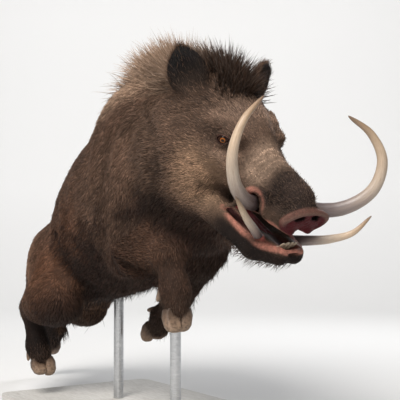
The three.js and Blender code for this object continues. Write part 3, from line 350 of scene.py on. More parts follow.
# ------------------------------------------------------------------ surfaces from distance fields
def nets(field, lo, hi, cell, place=lambda Q: Q, block=8, slack=1.5):
    """Quads over field = 0 on a grid of cells between lo and hi; place takes grid points to space.
    Only blocks of cells that the surface may cross are worked out."""
    n = (np.ceil((hi - lo) / cell / block).astype(int)) * block
    nb = n // block
    B = np.stack(np.meshgrid(*[np.arange(k) for k in nb], indexing="ij"), -1).reshape(-1, 3)
    mid = lo + (B + .5) * block * cell
    P = place(mid); corner = place(mid + block * cell / 2); reach = np.linalg.norm(corner - P, axis=1) * slack
    B = B[np.abs(field(P)) < reach + .004]
    need = np.zeros(n + 1, bool)
    for b in B:
        x, y, z = b * block; need[x:x + block + 1, y:y + block + 1, z:z + block + 1] = True
    idx = np.argwhere(need); val = np.full(n + 1, 1.0, np.float32)
    val[need] = field(place(lo + idx * cell)).astype(np.float32)
    live = np.zeros(n, bool)
    for b in B:
        x, y, z = b * block; live[x:x + block, y:y + block, z:z + block] = True
    ins = val < 0
    C = np.argwhere(live)
    corners = [(i, j, k) for i in (0, 1) for j in (0, 1) for k in (0, 1)]
    s = np.stack([ins[C[:, 0] + i, C[:, 1] + j, C[:, 2] + k] for i, j, k in corners], 1)
    C = C[s.any(1) & ~s.all(1)]
    v = np.stack([val[C[:, 0] + i, C[:, 1] + j, C[:, 2] + k] for i, j, k in corners], 1)
    acc = np.zeros((len(C), 3)); cnt = np.zeros(len(C))
    off = np.array(corners, float)
    for a in range(8):
        for b in range(a + 1, 8):
            if np.abs(off[a] - off[b]).sum() != 1: continue
            cross = (v[:, a] < 0) != (v[:, b] < 0)
            t = v[:, a] / np.where(cross, v[:, a] - v[:, b], 1)
            acc += np.where(cross[:, None], off[a] + t[:, None] * (off[b] - off[a]), 0); cnt += cross
    verts = lo + (C + acc / cnt[:, None]) * cell
    index = np.full(n, -1, np.int32); index[C[:, 0], C[:, 1], C[:, 2]] = np.arange(len(C))
    quads = []
    for ax in range(3):
        o = [0, 0, 0]; o[ax] = 1; u, w = [(1, 2), (2, 0), (0, 1)][ax]
        G = C[(C[:, u] > 0) & (C[:, w] > 0)]
        s0 = ins[G[:, 0], G[:, 1], G[:, 2]]; s1 = ins[G[:, 0] + o[0], G[:, 1] + o[1], G[:, 2] + o[2]]
        G, s0 = G[s0 != s1], s0[s0 != s1]
        du, dw = np.zeros(3, int), np.zeros(3, int); du[u] = 1; dw[w] = 1
        at = lambda Q: index[Q[:, 0], Q[:, 1], Q[:, 2]]
        q = np.stack([at(G), at(G - du), at(G - du - dw), at(G - dw)], 1)
        q[~s0] = q[~s0][:, ::-1]; quads.append(q[(q >= 0).all(1)])
    return place(verts), np.concatenate(quads)
def gradient(field, P, e):
    K = np.array([[1, -1, -1], [-1, -1, 1], [-1, 1, -1], [1, 1, 1]], float)
    return sum(k * field(P + k * e)[:, None] for k in K) / (4 * e)
def settle(field, P, turns=2, e=.0006, most=.004):
    for _ in range(turns):
        g = gradient(field, P, e); d = field(P)
        move = -d / np.maximum((g * g).sum(1), .15)
        P = P + np.clip(move, -most, most)[:, None] * g
    return P
def mesh_of(name, verts, faces, smooth=True):
    m = bpy.data.meshes.new(name); k = faces.shape[1]
    m.vertices.add(len(verts)); m.vertices.foreach_set("co", np.asarray(verts, np.float32).ravel())
    m.loops.add(faces.size); m.loops.foreach_set("vertex_index", np.asarray(faces, np.int32).ravel())
    m.polygons.add(len(faces)); m.polygons.foreach_set("loop_start", np.arange(0, faces.size, k, dtype=np.int32))
    m.polygons.foreach_set("loop_total", np.full(len(faces), k, np.int32))
    m.polygons.foreach_set("use_smooth", np.full(len(faces), smooth, bool))
    m.update(calc_edges=True); m.validate()
    return m
def piece(name, mesh, material, nodes=()):
    o = bpy.data.objects.new(name, mesh); bpy.context.scene.collection.objects.link(o)
    if material is not None: mesh.materials.append(material)
    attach(o, "root")
    if nodes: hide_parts(*nodes)
    return o
def coords(mesh):
    a = np.zeros(len(mesh.vertices) * 3, np.float32); mesh.vertices.foreach_get("co", a); return a.reshape(-1, 3).astype(float)
def set_value(mesh, name, values):
    a = mesh.attributes.new(name, "FLOAT", "POINT"); a.data.foreach_set("value", np.asarray(values, np.float32).ravel())
def set_colour(mesh, name, rgb):
    a = mesh.color_attributes.new(name, "FLOAT_COLOR", "POINT")
    a.data.foreach_set("color", np.concatenate([rgb, np.ones((len(rgb), 1))], 1).astype(np.float32).ravel())

# ------------------------------------------------------------------ the skin
# the grid is drawn out away from the muzzle, so that the head gets the small cells
FOCUS, R0, R1, STRETCH = h(.095, 0, -.045), .165, .42, 3.1
def place(Q):
    q = Q - FOCUS; r = np.linalg.norm(q, axis=1)
    k = (STRETCH - 1) / (R1 - R0); m = np.clip(r, R0, R1) - R0
    R = r + k * m * m / 2 + (STRETCH - 1) * np.maximum(r - R1, 0)
    return FOCUS + q * (R / np.maximum(r, 1e-9))[:, None]
def unplace(P):
    q = P - FOCUS; R = np.linalg.norm(q, axis=1); r = R.copy(); k = (STRETCH - 1) / (R1 - R0)
    for _ in range(30):
        m = np.clip(r, R0, R1) - R0
        r -= (r + k * m * m / 2 + (STRETCH - 1) * np.maximum(r - R1, 0) - R) / (1 + k * m + (r > R1) * 0)
    return FOCUS + q * (r / np.maximum(R, 1e-9))[:, None]
box_lo, box_hi = V(-.36, -1.0, .03), V(.36, .92, 1.15)
g = np.stack(np.meshgrid(*[np.linspace(a, b, 12) for a, b in zip(box_lo, box_hi)], indexing="ij"), -1).reshape(-1, 3)
q = unplace(g)
verts, quads = nets(shared(skin), q.min(0) - .01, q.max(0) + .01, .0035, place)
verts = settle(shared(skin), verts)
mesh = mesh_of("skin", verts, quads)
# finer faces at the eyes
def fine_spots(P):
    f, x, z = head_units(P); w = np.zeros(len(P), bool)
    for n in "RL":
        a, b, c, r = eye_coords(P, n); w |= (r < .030) & (c > -.006)
    return w
for turns in range(2):
    P = coords(mesh); w = fine_spots(P)
    bm = bmesh.new(); bm.from_mesh(mesh); bm.verts.ensure_lookup_table()
    edges = [e for e in bm.edges if w[e.verts[0].index] and w[e.verts[1].index]]
    bmesh.ops.subdivide_edges(bm, edges=edges, cuts=1, use_grid_fill=True)
    bm.to_mesh(mesh); bm.free()
    P = coords(mesh); w = fine_spots(P)
    P[w] = settle(shared(skin), P[w], 3, .0003, .002)
    mesh.vertices.foreach_set("co", P.astype(np.float32).ravel()); mesh.update()

# ------------------------------------------------------------------ where things are on the body, and their colours
def lin(r, g, b):
    c = np.array([r, g, b], float) / 255
    return np.where(c <= .04045, c / 12.92, ((c + .055) / 1.055) ** 2.4)
PARTS = dict(trunk=lambda P: smin(TRUNK(P), BELLY(P), .06), neck=NECK, head=lambda P: np.minimum(SKULL(P), JAW(P)), tail=TAIL,
             foreR=FORE["R"], foreL=FORE["L"], hindR=HIND["R"], hindL=HIND["L"], earR=EAR["R"], earL=EAR["L"])
PART_NAMES = list(PARTS)
def shares(P, soft=.018):
    D = np.stack([shared(PARTS[k])(P) for k in PART_NAMES], 1)
    D[:, PART_NAMES.index("earR")] -= .012; D[:, PART_NAMES.index("earL")] -= .012
    W = np.exp(-(D - D.min(1, keepdims=True)) / soft)
    return W / W.sum(1, keepdims=True)
BONES = {"fore": ("sho", "elb", "car", "ffe", "fto"), "hind": ("hip", "sti", "hoc", "hfe", "hto")}
def along_limb(P, kind, n):
    """The direction towards the foot at the nearest bone, and the place from 0 at the trunk to 4 at the toe."""
    pts = [J[k + n] for k in BONES[kind]]; best = np.full(len(P), 9.0); u = np.zeros((len(P), 3)); at = np.zeros(len(P))
    for i, (a, b) in enumerate(zip(pts[:-1], pts[1:])):
        ba = b - a; t = np.clip((P - a) @ ba / (ba @ ba), 0, 1); d = np.linalg.norm(P - (a + t[:, None] * ba), axis=1)
        m = d < best; best[m] = d[m]; u[m] = unit(ba); at[m] = i + t[m]
    return u, at
def lie(P, N, W):
    """The way the coat lies: back from the nose, along the body, down the legs, out along the ears."""
    f, x, z = head_units(P); s = np.where(x < 0, -1.0, 1.0)
    G = np.zeros_like(P)
    q = P - HIP; a, t = q @ FW, q @ UP
    side = np.clip(np.abs(P[:, 0]) / .22, 0, 1)
    trunk_dir = -FW - UP * (.30 * side * step(-.25, .10, t))[:, None] + UP * (.25 * step(.20, .32, t))[:, None]
    back_dir = -hdir(1, 0, 0)
    head_dir = back_dir - hdir(0, 0, 1) * (.55 * step(.02, -.12, z) * step(.16, .02, f))[:, None] + hdir(0, 0, 1) * (.35 * step(.03, .10, z))[:, None] + hdir(0, 1, 0) * (s * .30 * step(.10, -.02, f))[:, None]
    chin = step(.0, .12, f) * step(-.13, -.16, z)
    head_dir = head_dir - hdir(0, 0, 1) * (.5 * chin)[:, None]
    neck_dir = -FW * .9 - UP * (.55 * side)[:, None] - UP * (.5 * step(-.05, -.2, t))[:, None] + UP * (.2 * step(.16, .3, t))[:, None]
    for k, D in (("trunk", trunk_dir), ("head", head_dir), ("neck", neck_dir)): G += W[:, PART_NAMES.index(k)][:, None] * rows(D)
    for n in "RL":
        for kind in BONES:
            u_, at_l = along_limb(P, kind, n)
            if kind == "hind": u_ = rows(u_ * step(1.5, 2.3, at_l)[:, None] + V(0, .42, -.80) * (1 - step(1.5, 2.3, at_l))[:, None])
            G += W[:, PART_NAMES.index(kind + n)][:, None] * u_
        a0, b0, u, m, w, L = ear_frame(n); G += W[:, PART_NAMES.index("ear" + n)][:, None] * u
    G += W[:, PART_NAMES.index("tail")][:, None] * unit(T(-.30, .01, -.15) - T(-.16, 0, .07))
    sway = np.stack([waves(P, .13, 11), waves(P, .13, 12), waves(P, .13, 13)], 1)
    G = rows(G) + .11 * sway
    G -= N * np.einsum("ij,ij->i", G, N)[:, None]
    return rows(G)
def limb_low(P, W):
    """How far down a leg a point is: 0 above the elbow or stifle, 1 at the foot."""
    low = np.zeros(len(P))
    for n in "RL":
        for kind in BONES:
            low += W[:, PART_NAMES.index(kind + n)] * np.clip(along_limb(P, kind, n)[1] - 1.2, 0, 2.8) / 2.8
    return low
TONE = dict(body=lin(88, 67, 55), neck=lin(86, 66, 53), shoulder=lin(118, 92, 76), flank=lin(106, 74, 56), thigh=lin(130, 100, 81), dark=lin(34, 23, 19), belly=lin(64, 46, 39),
            cheek=lin(158, 128, 104), brow=lin(135, 112, 97), face=lin(104, 82, 68), bridge=lin(186, 157, 135), muzzle=lin(64, 50, 44), leg=lin(86, 63, 50), ear=lin(92, 70, 55), earin=lin(14, 8, 6), mask_and_brow_shadow=lin(44, 32, 27))
def mix(a, b, t): return a + (b - a) * t[:, None]
def markings_and_painted_shade(P, N, W):
    """The coat's colour at a point, shared by the skin under it and the tufts on it (linear RGB): its markings, with
    painted shade in the folds, under the chest, jaw and belly, round the eyes, in the ears and on the far legs.
    """
    f, x, z = head_units(P); X = np.abs(x)
    q = P - HIP; a, t = q @ FW, q @ UP
    c = np.tile(TONE["body"], (len(P), 1)).astype(float)
    c = mix(c, TONE["shoulder"], np.exp(-(((a - .66) / .17) ** 2 + ((t + .06) / .15) ** 2)))
    c = mix(c, TONE["neck"], step(.74, .86, a) * step(-.14, -.04, t))
    c = mix(c, TONE["flank"], step(.50, .35, a) * step(.10, -.06, t) * step(-.05, .10, a))
    c = mix(c, TONE["thigh"], step(.06, -.04, a))
    # painted shade under the chest: darker low on the front of the trunk, off the forelegs
    c = c * (1 - .42 * step(-.05, -.17, t) * step(.30, .44, a) * (1 - W[:, PART_NAMES.index("foreR")] - W[:, PART_NAMES.index("foreL")]))[:, None]
    c = mix(c, lin(172, 144, 122), .85 * step(.13, .24, t) * step(.42, .58, a))
    # the belly's own darker colour, and the same colour as painted shade on surfaces that face down, from the hips
    # forward
    under = step(-.14, -.25, t) * step(-.08, .04, a) * step(.98, .84, a)
    c = mix(c, TONE["belly"], np.clip(under + .95 * step(-.20, -.72, N[:, 2]) * step(-.02, .06, a), 0, 1))
    hw = W[:, PART_NAMES.index("head")] + .8 * W[:, PART_NAMES.index("neck")] * step(-.42, -.22, f)
    hc = np.tile(TONE["face"], (len(P), 1)).astype(float)
    hc = mix(hc, TONE["cheek"], step(.10, .02, f) * step(-.075, -.010, f) * step(-.165, -.110, z) * step(.03, -.03, z) * step(.04, .07, X))
    hc = mix(hc, TONE["brow"], np.exp(-(((f + .005) / .040) ** 2 + ((z - .088) / .026) ** 2)) * .85)
    hc = mix(hc, TONE["bridge"], step(.060, .100, f) * step(.188, .130, f) * step(-.035, .0, z) * (1 - .45 * step(.055, .075, X)))
    # dark skin round the eye, partly its own colour and partly painted shadow under the brow
    hc = mix(hc, TONE["mask_and_brow_shadow"], np.exp(-(((f - .02) / .034) ** 2 + ((z - .033) / .020) ** 2)) * .85)
    hc = mix(hc, TONE["brow"], np.exp(-(((f - .035) / .034) ** 2 + ((z + .002) / .013) ** 2)) * .55)
    hc = mix(hc, TONE["muzzle"], step(.132, .192, f + .006 * waves(P, .03, 27)) * step(-.055, -.02, z))
    hc = mix(hc, TONE["dark"], np.exp(-(((f - .185 + .5 * (z - .0)) / .020) ** 2 + ((z + .002) / .034) ** 2)) * .75)
    hc = mix(hc, TONE["mask_and_brow_shadow"], step(-.10, -.06, z) * step(-.02, -.05, z) * step(.055, .095, f) * step(.155, .12, f) * .55)
    # painted shade under the jaw
    hc = mix(hc, TONE["dark"], step(-.145, -.195, z) * step(.10, .0, f) * .92)
    hc = mix(hc, TONE["dark"], step(-.116, -.138, z) * step(.02, .10, f) * .96)
    c = mix(c, hc, np.clip(hw, 0, 1))
    for n in "RL":
        for kind in BONES:
            w = W[:, PART_NAMES.index(kind + n)]; at = along_limb(P, kind, n)[1]
            c = mix(c, TONE["leg"], w * step(.6, 1.6, at) * .85)
            if kind == "fore": c = mix(c, TONE["dark"], w * step(1.0, .5, at) * .22)
            c = mix(c, TONE["dark"], w * step(1.5, 2.6, at) * (.92 if kind == "hind" else .12))
            if kind == "hind": c = mix(c, TONE["dark"], w * step(-.12, -.27, t) * .72)
            # painted shade over the far legs
            if n == "L": c = mix(c, TONE["dark"], w * step(.3, 1.0, at) * .62)
        a0, b0, u, m, wv, L = ear_frame(n); e = W[:, PART_NAMES.index("ear" + n)]
        # the inside of the ear: partly its dark hair, partly painted shade in its hollow
        c = mix(c, TONE["ear"], e); c = mix(c, TONE["earin"], e * step(-.1, .25, N @ m))
    # tone that varies at random, times the painted shade in the folds between the muscles
    c = c * ((1 + .16 * waves(P, .16, 21) + .14 * waves(P, .045, 22) + .10 * waves(P, .016, 23)) * (1 - crease(P, 1)))[:, None]
    return np.clip(c, .004, .9)
SKIN_PINK, LIP_PINK, DISC_RED, DEEP_RED, LID_DARK = lin(112, 84, 74), lin(174, 116, 100), lin(72, 13, 19), lin(54, 11, 14), lin(30, 19, 16)
def bareness(P):
    """(how bare the skin is, its bare colour, how wet it is)."""
    f, x, z = head_units(P); bare, wet = np.zeros(len(P)), np.zeros(len(P)); col = np.tile(SKIN_PINK, (len(P), 1)).astype(float)
    m = near_head(P) & (f > .0)
    if m.any():
        Q, F, X, Z = P[m], f[m], x[m], z[m]
        lips = np.min([tubes(L, Q) for s in LIP_TUBES for L in LIP_TUBES[s]], 0); mouth = MOUTH(Q); pocket = np.minimum(POCKET[-1](Q), POCKET[1](Q)); nos = np.minimum(NOSTRIL[-1](Q), NOSTRIL[1](Q))
        tx, tv, to_ = tipped(Q); rr_ = np.hypot(tx / (DISC_W * .93), tv / (DISC_H * .90)); disc = step(-.004, .003, to_) * step(1.24, 1.12, rr_)
        b = step(.0050, .0016, lips) * step(.0200, .0080, np.minimum(mouth, pocket)) * (.72 + .28 * step(-.4, .4, waves(Q, .012, 33))); k = np.tile(LIP_PINK, (len(Q), 1)).astype(float)
        k = mix(k, SKIN_PINK, .25 * step(.004, -.002, waves(Q, .02, 31)))
        k = mix(k, DISC_RED, disc); k = mix(k, SKIN_PINK, disc * step(.88, 1.02, rr_) * step(-.012, .010, tv))
        # the mouth's deep red inside, darkened further as painted shade
        k = mix(k, DEEP_RED * .55, step(.0035, .0, mouth) * step(.003, .007, lips))
        inside = step(.0030, -.0005, mouth) * step(.0015, .0045, lips)
        gum = np.minimum(np.minimum(GUM[-1](Q), GUM[1](Q)), FRONT_GUM(Q)); gum = step(.0025, .0005, gum) * step(.012, .004, np.minimum(mouth, .05)); k = mix(k, LIP_PINK * np.array([.60, .42, .45]), gum); b = np.maximum(b, gum)
        k = mix(k, LIP_PINK * np.array([.75, .55, .60]), inside * step(.17, .20, F) * step(-.128, -.120, Z) * .8)
        # painted shade in the pockets at the lip corners and in the nostrils
        k = mix(k, DEEP_RED * .22, step(.003, -.001, pocket) * step(.001, .004, lips) * .95); k = mix(k, DEEP_RED * .12, step(.0025, .0, nos))
        bb = np.clip(np.maximum.reduce([b, disc, inside, step(.004, .0, pocket) * .9, step(.003, .0, nos)]), 0, 1)
        bare[m] = bb; col[m] = k; wet[m] = np.clip(.45 * inside + .55 * disc + .35 * b + .5 * step(.003, 0, nos), 0, 1)
    for n in "RL":
        a, b, c, r = eye_coords(P, n); m = (r < .04) & (c > -.01)
        e = step(.0042, .0018, lid_gap(a, b)) * m
        bare = np.maximum(bare, e); col = mix(col, LID_DARK, e); wet = np.maximum(wet, e * .5)
    return bare, col, wet

# ------------------------------------------------------------------ materials
def nodes_of(name):
    m = bpy.data.materials.new(name); m.use_nodes = True; t = m.node_tree
    return m, t, t.nodes["Principled BSDF"]
def add(t, kind, **kw):
    n = t.nodes.new(kind)
    for k, v in kw.items():
        setattr(n, k, v)
    return n
def sockets(n, **kw):
    for k, v in kw.items(): n.inputs[k].default_value = v
    return n
def noise(t, scale, detail=3, rough=.55, vector=None, distortion=0):
    n = t.nodes.new("ShaderNodeTexNoise"); n.inputs["Scale"].default_value = scale; n.inputs["Detail"].default_value = detail
    n.inputs["Roughness"].default_value = rough; n.inputs["Distortion"].default_value = distortion
    if vector is None: vector = t.nodes.new("ShaderNodeTexCoord").outputs["Object"]
    t.links.new(vector, n.inputs["Vector"]); return n.outputs["Fac"]
def remap(t, v, a, b, c, d):
    n = t.nodes.new("ShaderNodeMapRange"); t.links.new(v, n.inputs["Value"])
    for k, x in zip(("From Min", "From Max", "To Min", "To Max"), (a, b, c, d)): n.inputs[k].default_value = x
    return n.outputs["Result"]
def times(t, col, fac):
    n = t.nodes.new("ShaderNodeVectorMath"); n.operation = "SCALE"; t.links.new(col, n.inputs[0]); t.links.new(fac, n.inputs["Scale"]); return n.outputs[0]
def mixc(t, a, b, fac):
    n = t.nodes.new("ShaderNodeMix"); n.data_type = "RGBA"
    for k, v in ((6, a), (7, b)):
        if isinstance(v, tuple): n.inputs[k].default_value = (*v, 1) if len(v) == 3 else v
        else: t.links.new(v, n.inputs[k])
    if isinstance(fac, float): n.inputs[0].default_value = fac
    else: t.links.new(fac, n.inputs[0])
    return n.outputs[2]
def math_(t, op, a, b):
    n = t.nodes.new("ShaderNodeMath"); n.operation = op
    for k, v in ((0, a), (1, b)):
        if isinstance(v, (int, float)): n.inputs[k].default_value = v
        else: t.links.new(v, n.inputs[k])
    return n.outputs[0]
def attr(t, name, out="Fac"):
    n = t.nodes.new("ShaderNodeAttribute"); n.attribute_name = name; return n.outputs[out]
def bump(t, height, dist, strength=1.0, onto=None):
    n = t.nodes.new("ShaderNodeBump"); n.inputs["Distance"].default_value = dist; n.inputs["Strength"].default_value = strength
    t.links.new(height, n.inputs["Height"])
    if onto is not None: t.links.new(onto, n.inputs["Normal"])
    return n.outputs["Normal"]

def skin_material():
    m, t, b = nodes_of("skin")
    base = attr(t, "mark_and_shade", "Color"); bare = attr(t, "bare"); wet = attr(t, "wet")
    spots = remap(t, noise(t, 260, 4, .7), .3, .7, .55, 1.35)
    fine = remap(t, noise(t, 900, 3, .6), .3, .7, .75, 1.2)
    col = times(t, times(t, base, spots), fine)
    t.links.new(col, b.inputs["Base Color"])
    rough = math_(t, "SUBTRACT", .78, math_(t, "MULTIPLY", wet, .46))
    t.links.new(rough, b.inputs["Roughness"])
    vor = t.nodes.new("ShaderNodeTexVoronoi"); vor.feature = "DISTANCE_TO_EDGE"; vor.inputs["Scale"].default_value = 420
    t.links.new(t.nodes.new("ShaderNodeTexCoord").outputs["Object"], vor.inputs["Vector"])
    leather = math_(t, "MULTIPLY", remap(t, vor.outputs["Distance"], 0, .18, 0, 1), bare)
    n1 = bump(t, leather, .0006)
    n2 = bump(t, noise(t, 700, 4, .65), .0010, 1.0, n1)
    t.links.new(n2, b.inputs["Normal"])
    b.inputs["Specular IOR Level"].default_value = .15
    b.inputs["Subsurface Weight"].default_value = .0
    return m
def coat_material(name, rough=.50, sheen=.02):
    m, t, b = nodes_of(name)
    base = attr(t, "tint", "Color")
    spots = remap(t, noise(t, 420, 3, .65), .3, .7, .66, 1.42)
    t.links.new(times(t, base, spots), b.inputs["Base Color"])
    t.links.new(remap(t, noise(t, 90, 2, .5), .3, .7, rough - .07, rough + .10), b.inputs["Roughness"])
    b.inputs["Specular IOR Level"].default_value = .13
    b.inputs["Sheen Weight"].default_value = sheen; b.inputs["Sheen Roughness"].default_value = .45
    b.inputs["Sheen Tint"].default_value = (1, .92, .84, 1)
    return m
def ivory_material():
    m, t, b = nodes_of("ivory")
    g = attr(t, "grain", "Vector"); along = attr(t, "along")
    streak = noise(t, 7, 6, .72, g); cloud = noise(t, 1.6, 3, .55, g)
    base = t.nodes.new("ShaderNodeValToRGB"); r = base.color_ramp
    r.elements[0].position = 0; r.elements[0].color = (*lin(56, 47, 48), 1)
    r.elements[1].position = 1; r.elements[1].color = (*lin(104, 82, 66), 1)
    for p, c in ((.12, lin(82, 72, 74)), (.26, lin(130, 118, 114)), (.46, lin(176, 160, 144)), (.70, lin(188, 166, 142)), (.88, lin(158, 132, 106))):
        e = r.elements.new(p); e.color = (*c, 1)
    t.links.new(math_(t, "ADD", along, math_(t, "MULTIPLY", math_(t, "SUBTRACT", cloud, .5), .16)), base.inputs["Fac"])
    col = mixc(t, base.outputs["Color"], (*lin(112, 88, 70),), math_(t, "MULTIPLY", remap(t, streak, .46, .70, 0, 1), .55))
    pits = remap(t, noise(t, 30, 3, .6, g), .60, .72, 0, .35)
    col = mixc(t, col, (*lin(92, 76, 66),), pits)
    t.links.new(col, b.inputs["Base Color"])
    t.links.new(remap(t, streak, .3, .7, .30, .50), b.inputs["Roughness"])
    t.links.new(bump(t, streak, .0009), b.inputs["Normal"])
    b.inputs["Coat Weight"].default_value = .18; b.inputs["Coat Roughness"].default_value = .25
    b.inputs["Subsurface Weight"].default_value = .06; b.inputs["Subsurface Radius"].default_value = (.006, .004, .003)
    return m
def horn_material():
    m, t, b = nodes_of("horn")
    g = attr(t, "grain", "Vector"); along = attr(t, "along")
    streak = noise(t, 9, 5, .65, g)
    wave = t.nodes.new("ShaderNodeTexWave"); wave.wave_type = "BANDS"; wave.bands_direction = "Z"; wave.inputs["Scale"].default_value = 1.3; wave.inputs["Distortion"].default_value = 2.4; wave.inputs["Detail"].default_value = 2
    t.links.new(g, wave.inputs["Vector"])
    base = t.nodes.new("ShaderNodeValToRGB"); r = base.color_ramp
    r.elements[0].position = 0; r.elements[0].color = (*lin(52, 39, 31), 1)
    r.elements[1].position = 1; r.elements[1].color = (*lin(142, 119, 98), 1)
    for p, c in ((.30, lin(96, 75, 60)), (.65, lin(136, 112, 92))): e = r.elements.new(p); e.color = (*c, 1)
    t.links.new(math_(t, "ADD", along, math_(t, "MULTIPLY", math_(t, "SUBTRACT", streak, .5), .7)), base.inputs["Fac"])
    col = mixc(t, base.outputs["Color"], (*lin(60, 46, 38),), remap(t, noise(t, 160, 4, .65), .47, .66, 0, .75))
    t.links.new(col, b.inputs["Base Color"])
    t.links.new(remap(t, streak, .3, .7, .36, .58), b.inputs["Roughness"])
    n1 = bump(t, wave.outputs["Fac"], .0007); t.links.new(bump(t, streak, .0008, 1.0, n1), b.inputs["Normal"])
    return m
def eye_material():
    m, t, b = nodes_of("eye")
    base = attr(t, "tint", "Color"); f = remap(t, noise(t, 1800, 3, .6), .3, .7, .8, 1.25)
    t.links.new(times(t, base, f), b.inputs["Base Color"]); t.links.new(remap(t, noise(t, 300, 2, .5), .3, .7, .04, .10), b.inputs["Roughness"])
    b.inputs["Coat Weight"].default_value = .22; b.inputs["Coat Roughness"].default_value = .03; b.inputs["Specular IOR Level"].default_value = .10
    return m
def tooth_material():
    m, t, b = nodes_of("tooth"); along = attr(t, "along")
    base = t.nodes.new("ShaderNodeValToRGB"); r = base.color_ramp
    r.elements[0].position = 0; r.elements[0].color = (*lin(134, 104, 82), 1); r.elements[1].position = 1; r.elements[1].color = (*lin(190, 174, 154), 1)
    e = r.elements.new(.45); e.color = (*lin(160, 138, 114), 1)
    t.links.new(math_(t, "ADD", along, math_(t, "MULTIPLY", math_(t, "SUBTRACT", noise(t, 260, 3, .6), .5), .5)), base.inputs["Fac"])
    t.links.new(base.outputs["Color"], b.inputs["Base Color"]); t.links.new(remap(t, noise(t, 500, 2, .5), .3, .7, .18, .34), b.inputs["Roughness"])
    t.links.new(bump(t, noise(t, 600, 3, .6), .0003), b.inputs["Normal"])
    return m
def tongue_material():
    m, t, b = nodes_of("tongue")
    col = mixc(t, (*lin(108, 44, 46),), (*lin(78, 28, 32),), remap(t, noise(t, 60, 4, .6), .35, .65, 0, 1))
    t.links.new(col, b.inputs["Base Color"]); t.links.new(remap(t, noise(t, 400, 3, .5), .3, .7, .46, .62), b.inputs["Roughness"]); b.inputs["Specular IOR Level"].default_value = .12
    vor = t.nodes.new("ShaderNodeTexVoronoi"); vor.inputs["Scale"].default_value = 700
    t.links.new(t.nodes.new("ShaderNodeTexCoord").outputs["Object"], vor.inputs["Vector"]); t.links.new(bump(t, vor.outputs["Distance"], -.0005), b.inputs["Normal"])
    return m
def stand_materials():
    m, t, b = nodes_of("stand_base")
    tex = t.nodes.new("ShaderNodeTexCoord").outputs["Object"]; mp = t.nodes.new("ShaderNodeMapping"); mp.inputs["Scale"].default_value = (14, 1.6, 14); t.links.new(tex, mp.inputs["Vector"])
    grain = noise(t, 9, 6, .62, mp.outputs["Vector"], 1.4)
    col = mixc(t, (*lin(206, 204, 200),), (*lin(184, 181, 176),), remap(t, grain, .35, .65, 0, 1))
    t.links.new(col, b.inputs["Base Color"]); t.links.new(remap(t, grain, .3, .7, .42, .60), b.inputs["Roughness"]); t.links.new(bump(t, grain, .0004), b.inputs["Normal"])
    r, t, b = nodes_of("stand_rod")
    tex = t.nodes.new("ShaderNodeTexCoord").outputs["Object"]; mp = t.nodes.new("ShaderNodeMapping"); mp.inputs["Scale"].default_value = (1, 1, 40); t.links.new(tex, mp.inputs["Vector"])
    lines = noise(t, 30, 4, .6, mp.outputs["Vector"])
    t.links.new(mixc(t, (.62, .63, .64), (.50, .51, .53), remap(t, lines, .35, .65, 0, 1)), b.inputs["Base Color"])
    b.inputs["Metallic"].default_value = 1.0; t.links.new(remap(t, lines, .3, .7, .22, .38), b.inputs["Roughness"]); t.links.new(bump(t, lines, .0001), b.inputs["Normal"])
    return m, r
SKIN, COAT, MANE, IVORY, HORN, EYE, TOOTH, TONGUE_M = skin_material(), coat_material("coat"), coat_material("mane", .48, .03), ivory_material(), horn_material(), eye_material(), tooth_material(), tongue_material()
STAND, ROD = stand_materials()
for k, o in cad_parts.items():
    if k == "stand_base" or k.startswith("stand_rod"):
        o.data.materials.clear(); o.data.materials.append(STAND if k == "stand_base" else ROD)

# ------------------------------------------------------------------ the skin piece
FLESH = [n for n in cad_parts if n.split("_")[0] in ("abdomen", "ear", "foot", "forearm", "head", "lower", "neck", "rump", "shank", "snout", "tail", "thigh", "thorax", "upper")]
def vertex_normals(mesh):
    a = np.zeros(len(mesh.vertices) * 3, np.float32); mesh.vertices.foreach_get("normal", a); return a.reshape(-1, 3).astype(float)
SP = coords(mesh); SN = vertex_normals(mesh); SW = shares(SP)
mark_and_shade = markings_and_painted_shade(SP, SN, SW); bare, bare_col, wet = bareness(SP)
under = mark_and_shade * .46
set_colour(mesh, "mark_and_shade", mix(under, bare_col, bare)); set_value(mesh, "bare", bare); set_value(mesh, "wet", wet)
skin_ob = piece("skin", mesh, SKIN, FLESH)

# ------------------------------------------------------------------ swept and lofted pieces
def spline(points, n):
    """n points on a smooth curve through the given ones, with their places from 0 to 1."""
    P = np.array(points, float); k = len(P) - 1; out = []
    for t in np.linspace(0, k, n):
        i = min(int(t), k - 1); u = t - i
        p0, p1, p2, p3 = P[max(i - 1, 0)] if i else 2 * P[0] - P[1], P[i], P[i + 1], P[min(i + 2, k)] if i + 2 <= k else 2 * P[k] - P[k - 1]
        out.append(.5 * (2 * p1 + (p2 - p0) * u + (2 * p0 - 5 * p1 + 4 * p2 - p3) * u * u + (3 * p1 - p0 - 3 * p2 + p3) * u ** 3))
    return np.array(out)
def frames(C, first):
    Tn = rows(np.gradient(C, axis=0)); A = []; a = first
    for t in Tn:
        a = a - t * (a @ t); a = unit(a); A.append(a)
    A = np.array(A); return Tn, A, np.cross(Tn, A)
def loft(rings, ends=True):
    """rings: (m, n, 3) points. Returns the vertices and the quads of a closed skin with a point at each end."""
    m, n, _ = rings.shape; vs = [rings.reshape(-1, 3)]; i = np.arange(m - 1)[:, None] * n; j = np.arange(n)[None]
    a, b = (i + j).ravel(), (i + (j + 1) % n).ravel(); quads = np.stack([a, b, b + n, a + n], 1); faces = [quads]
    c0, c1 = m * n, m * n + 1; vs += [rings[0].mean(0)[None], rings[-1].mean(0)[None]]
    j = np.arange(n); tri0 = np.stack([np.full(n, c0), (j + 1) % n, j, j], 1); e = (m - 1) * n; tri1 = np.stack([np.full(n, c1), e + j, e + (j + 1) % n, e + (j + 1) % n], 1)
    return np.concatenate(vs), quads, tri0[:, :3], tri1[:, :3]
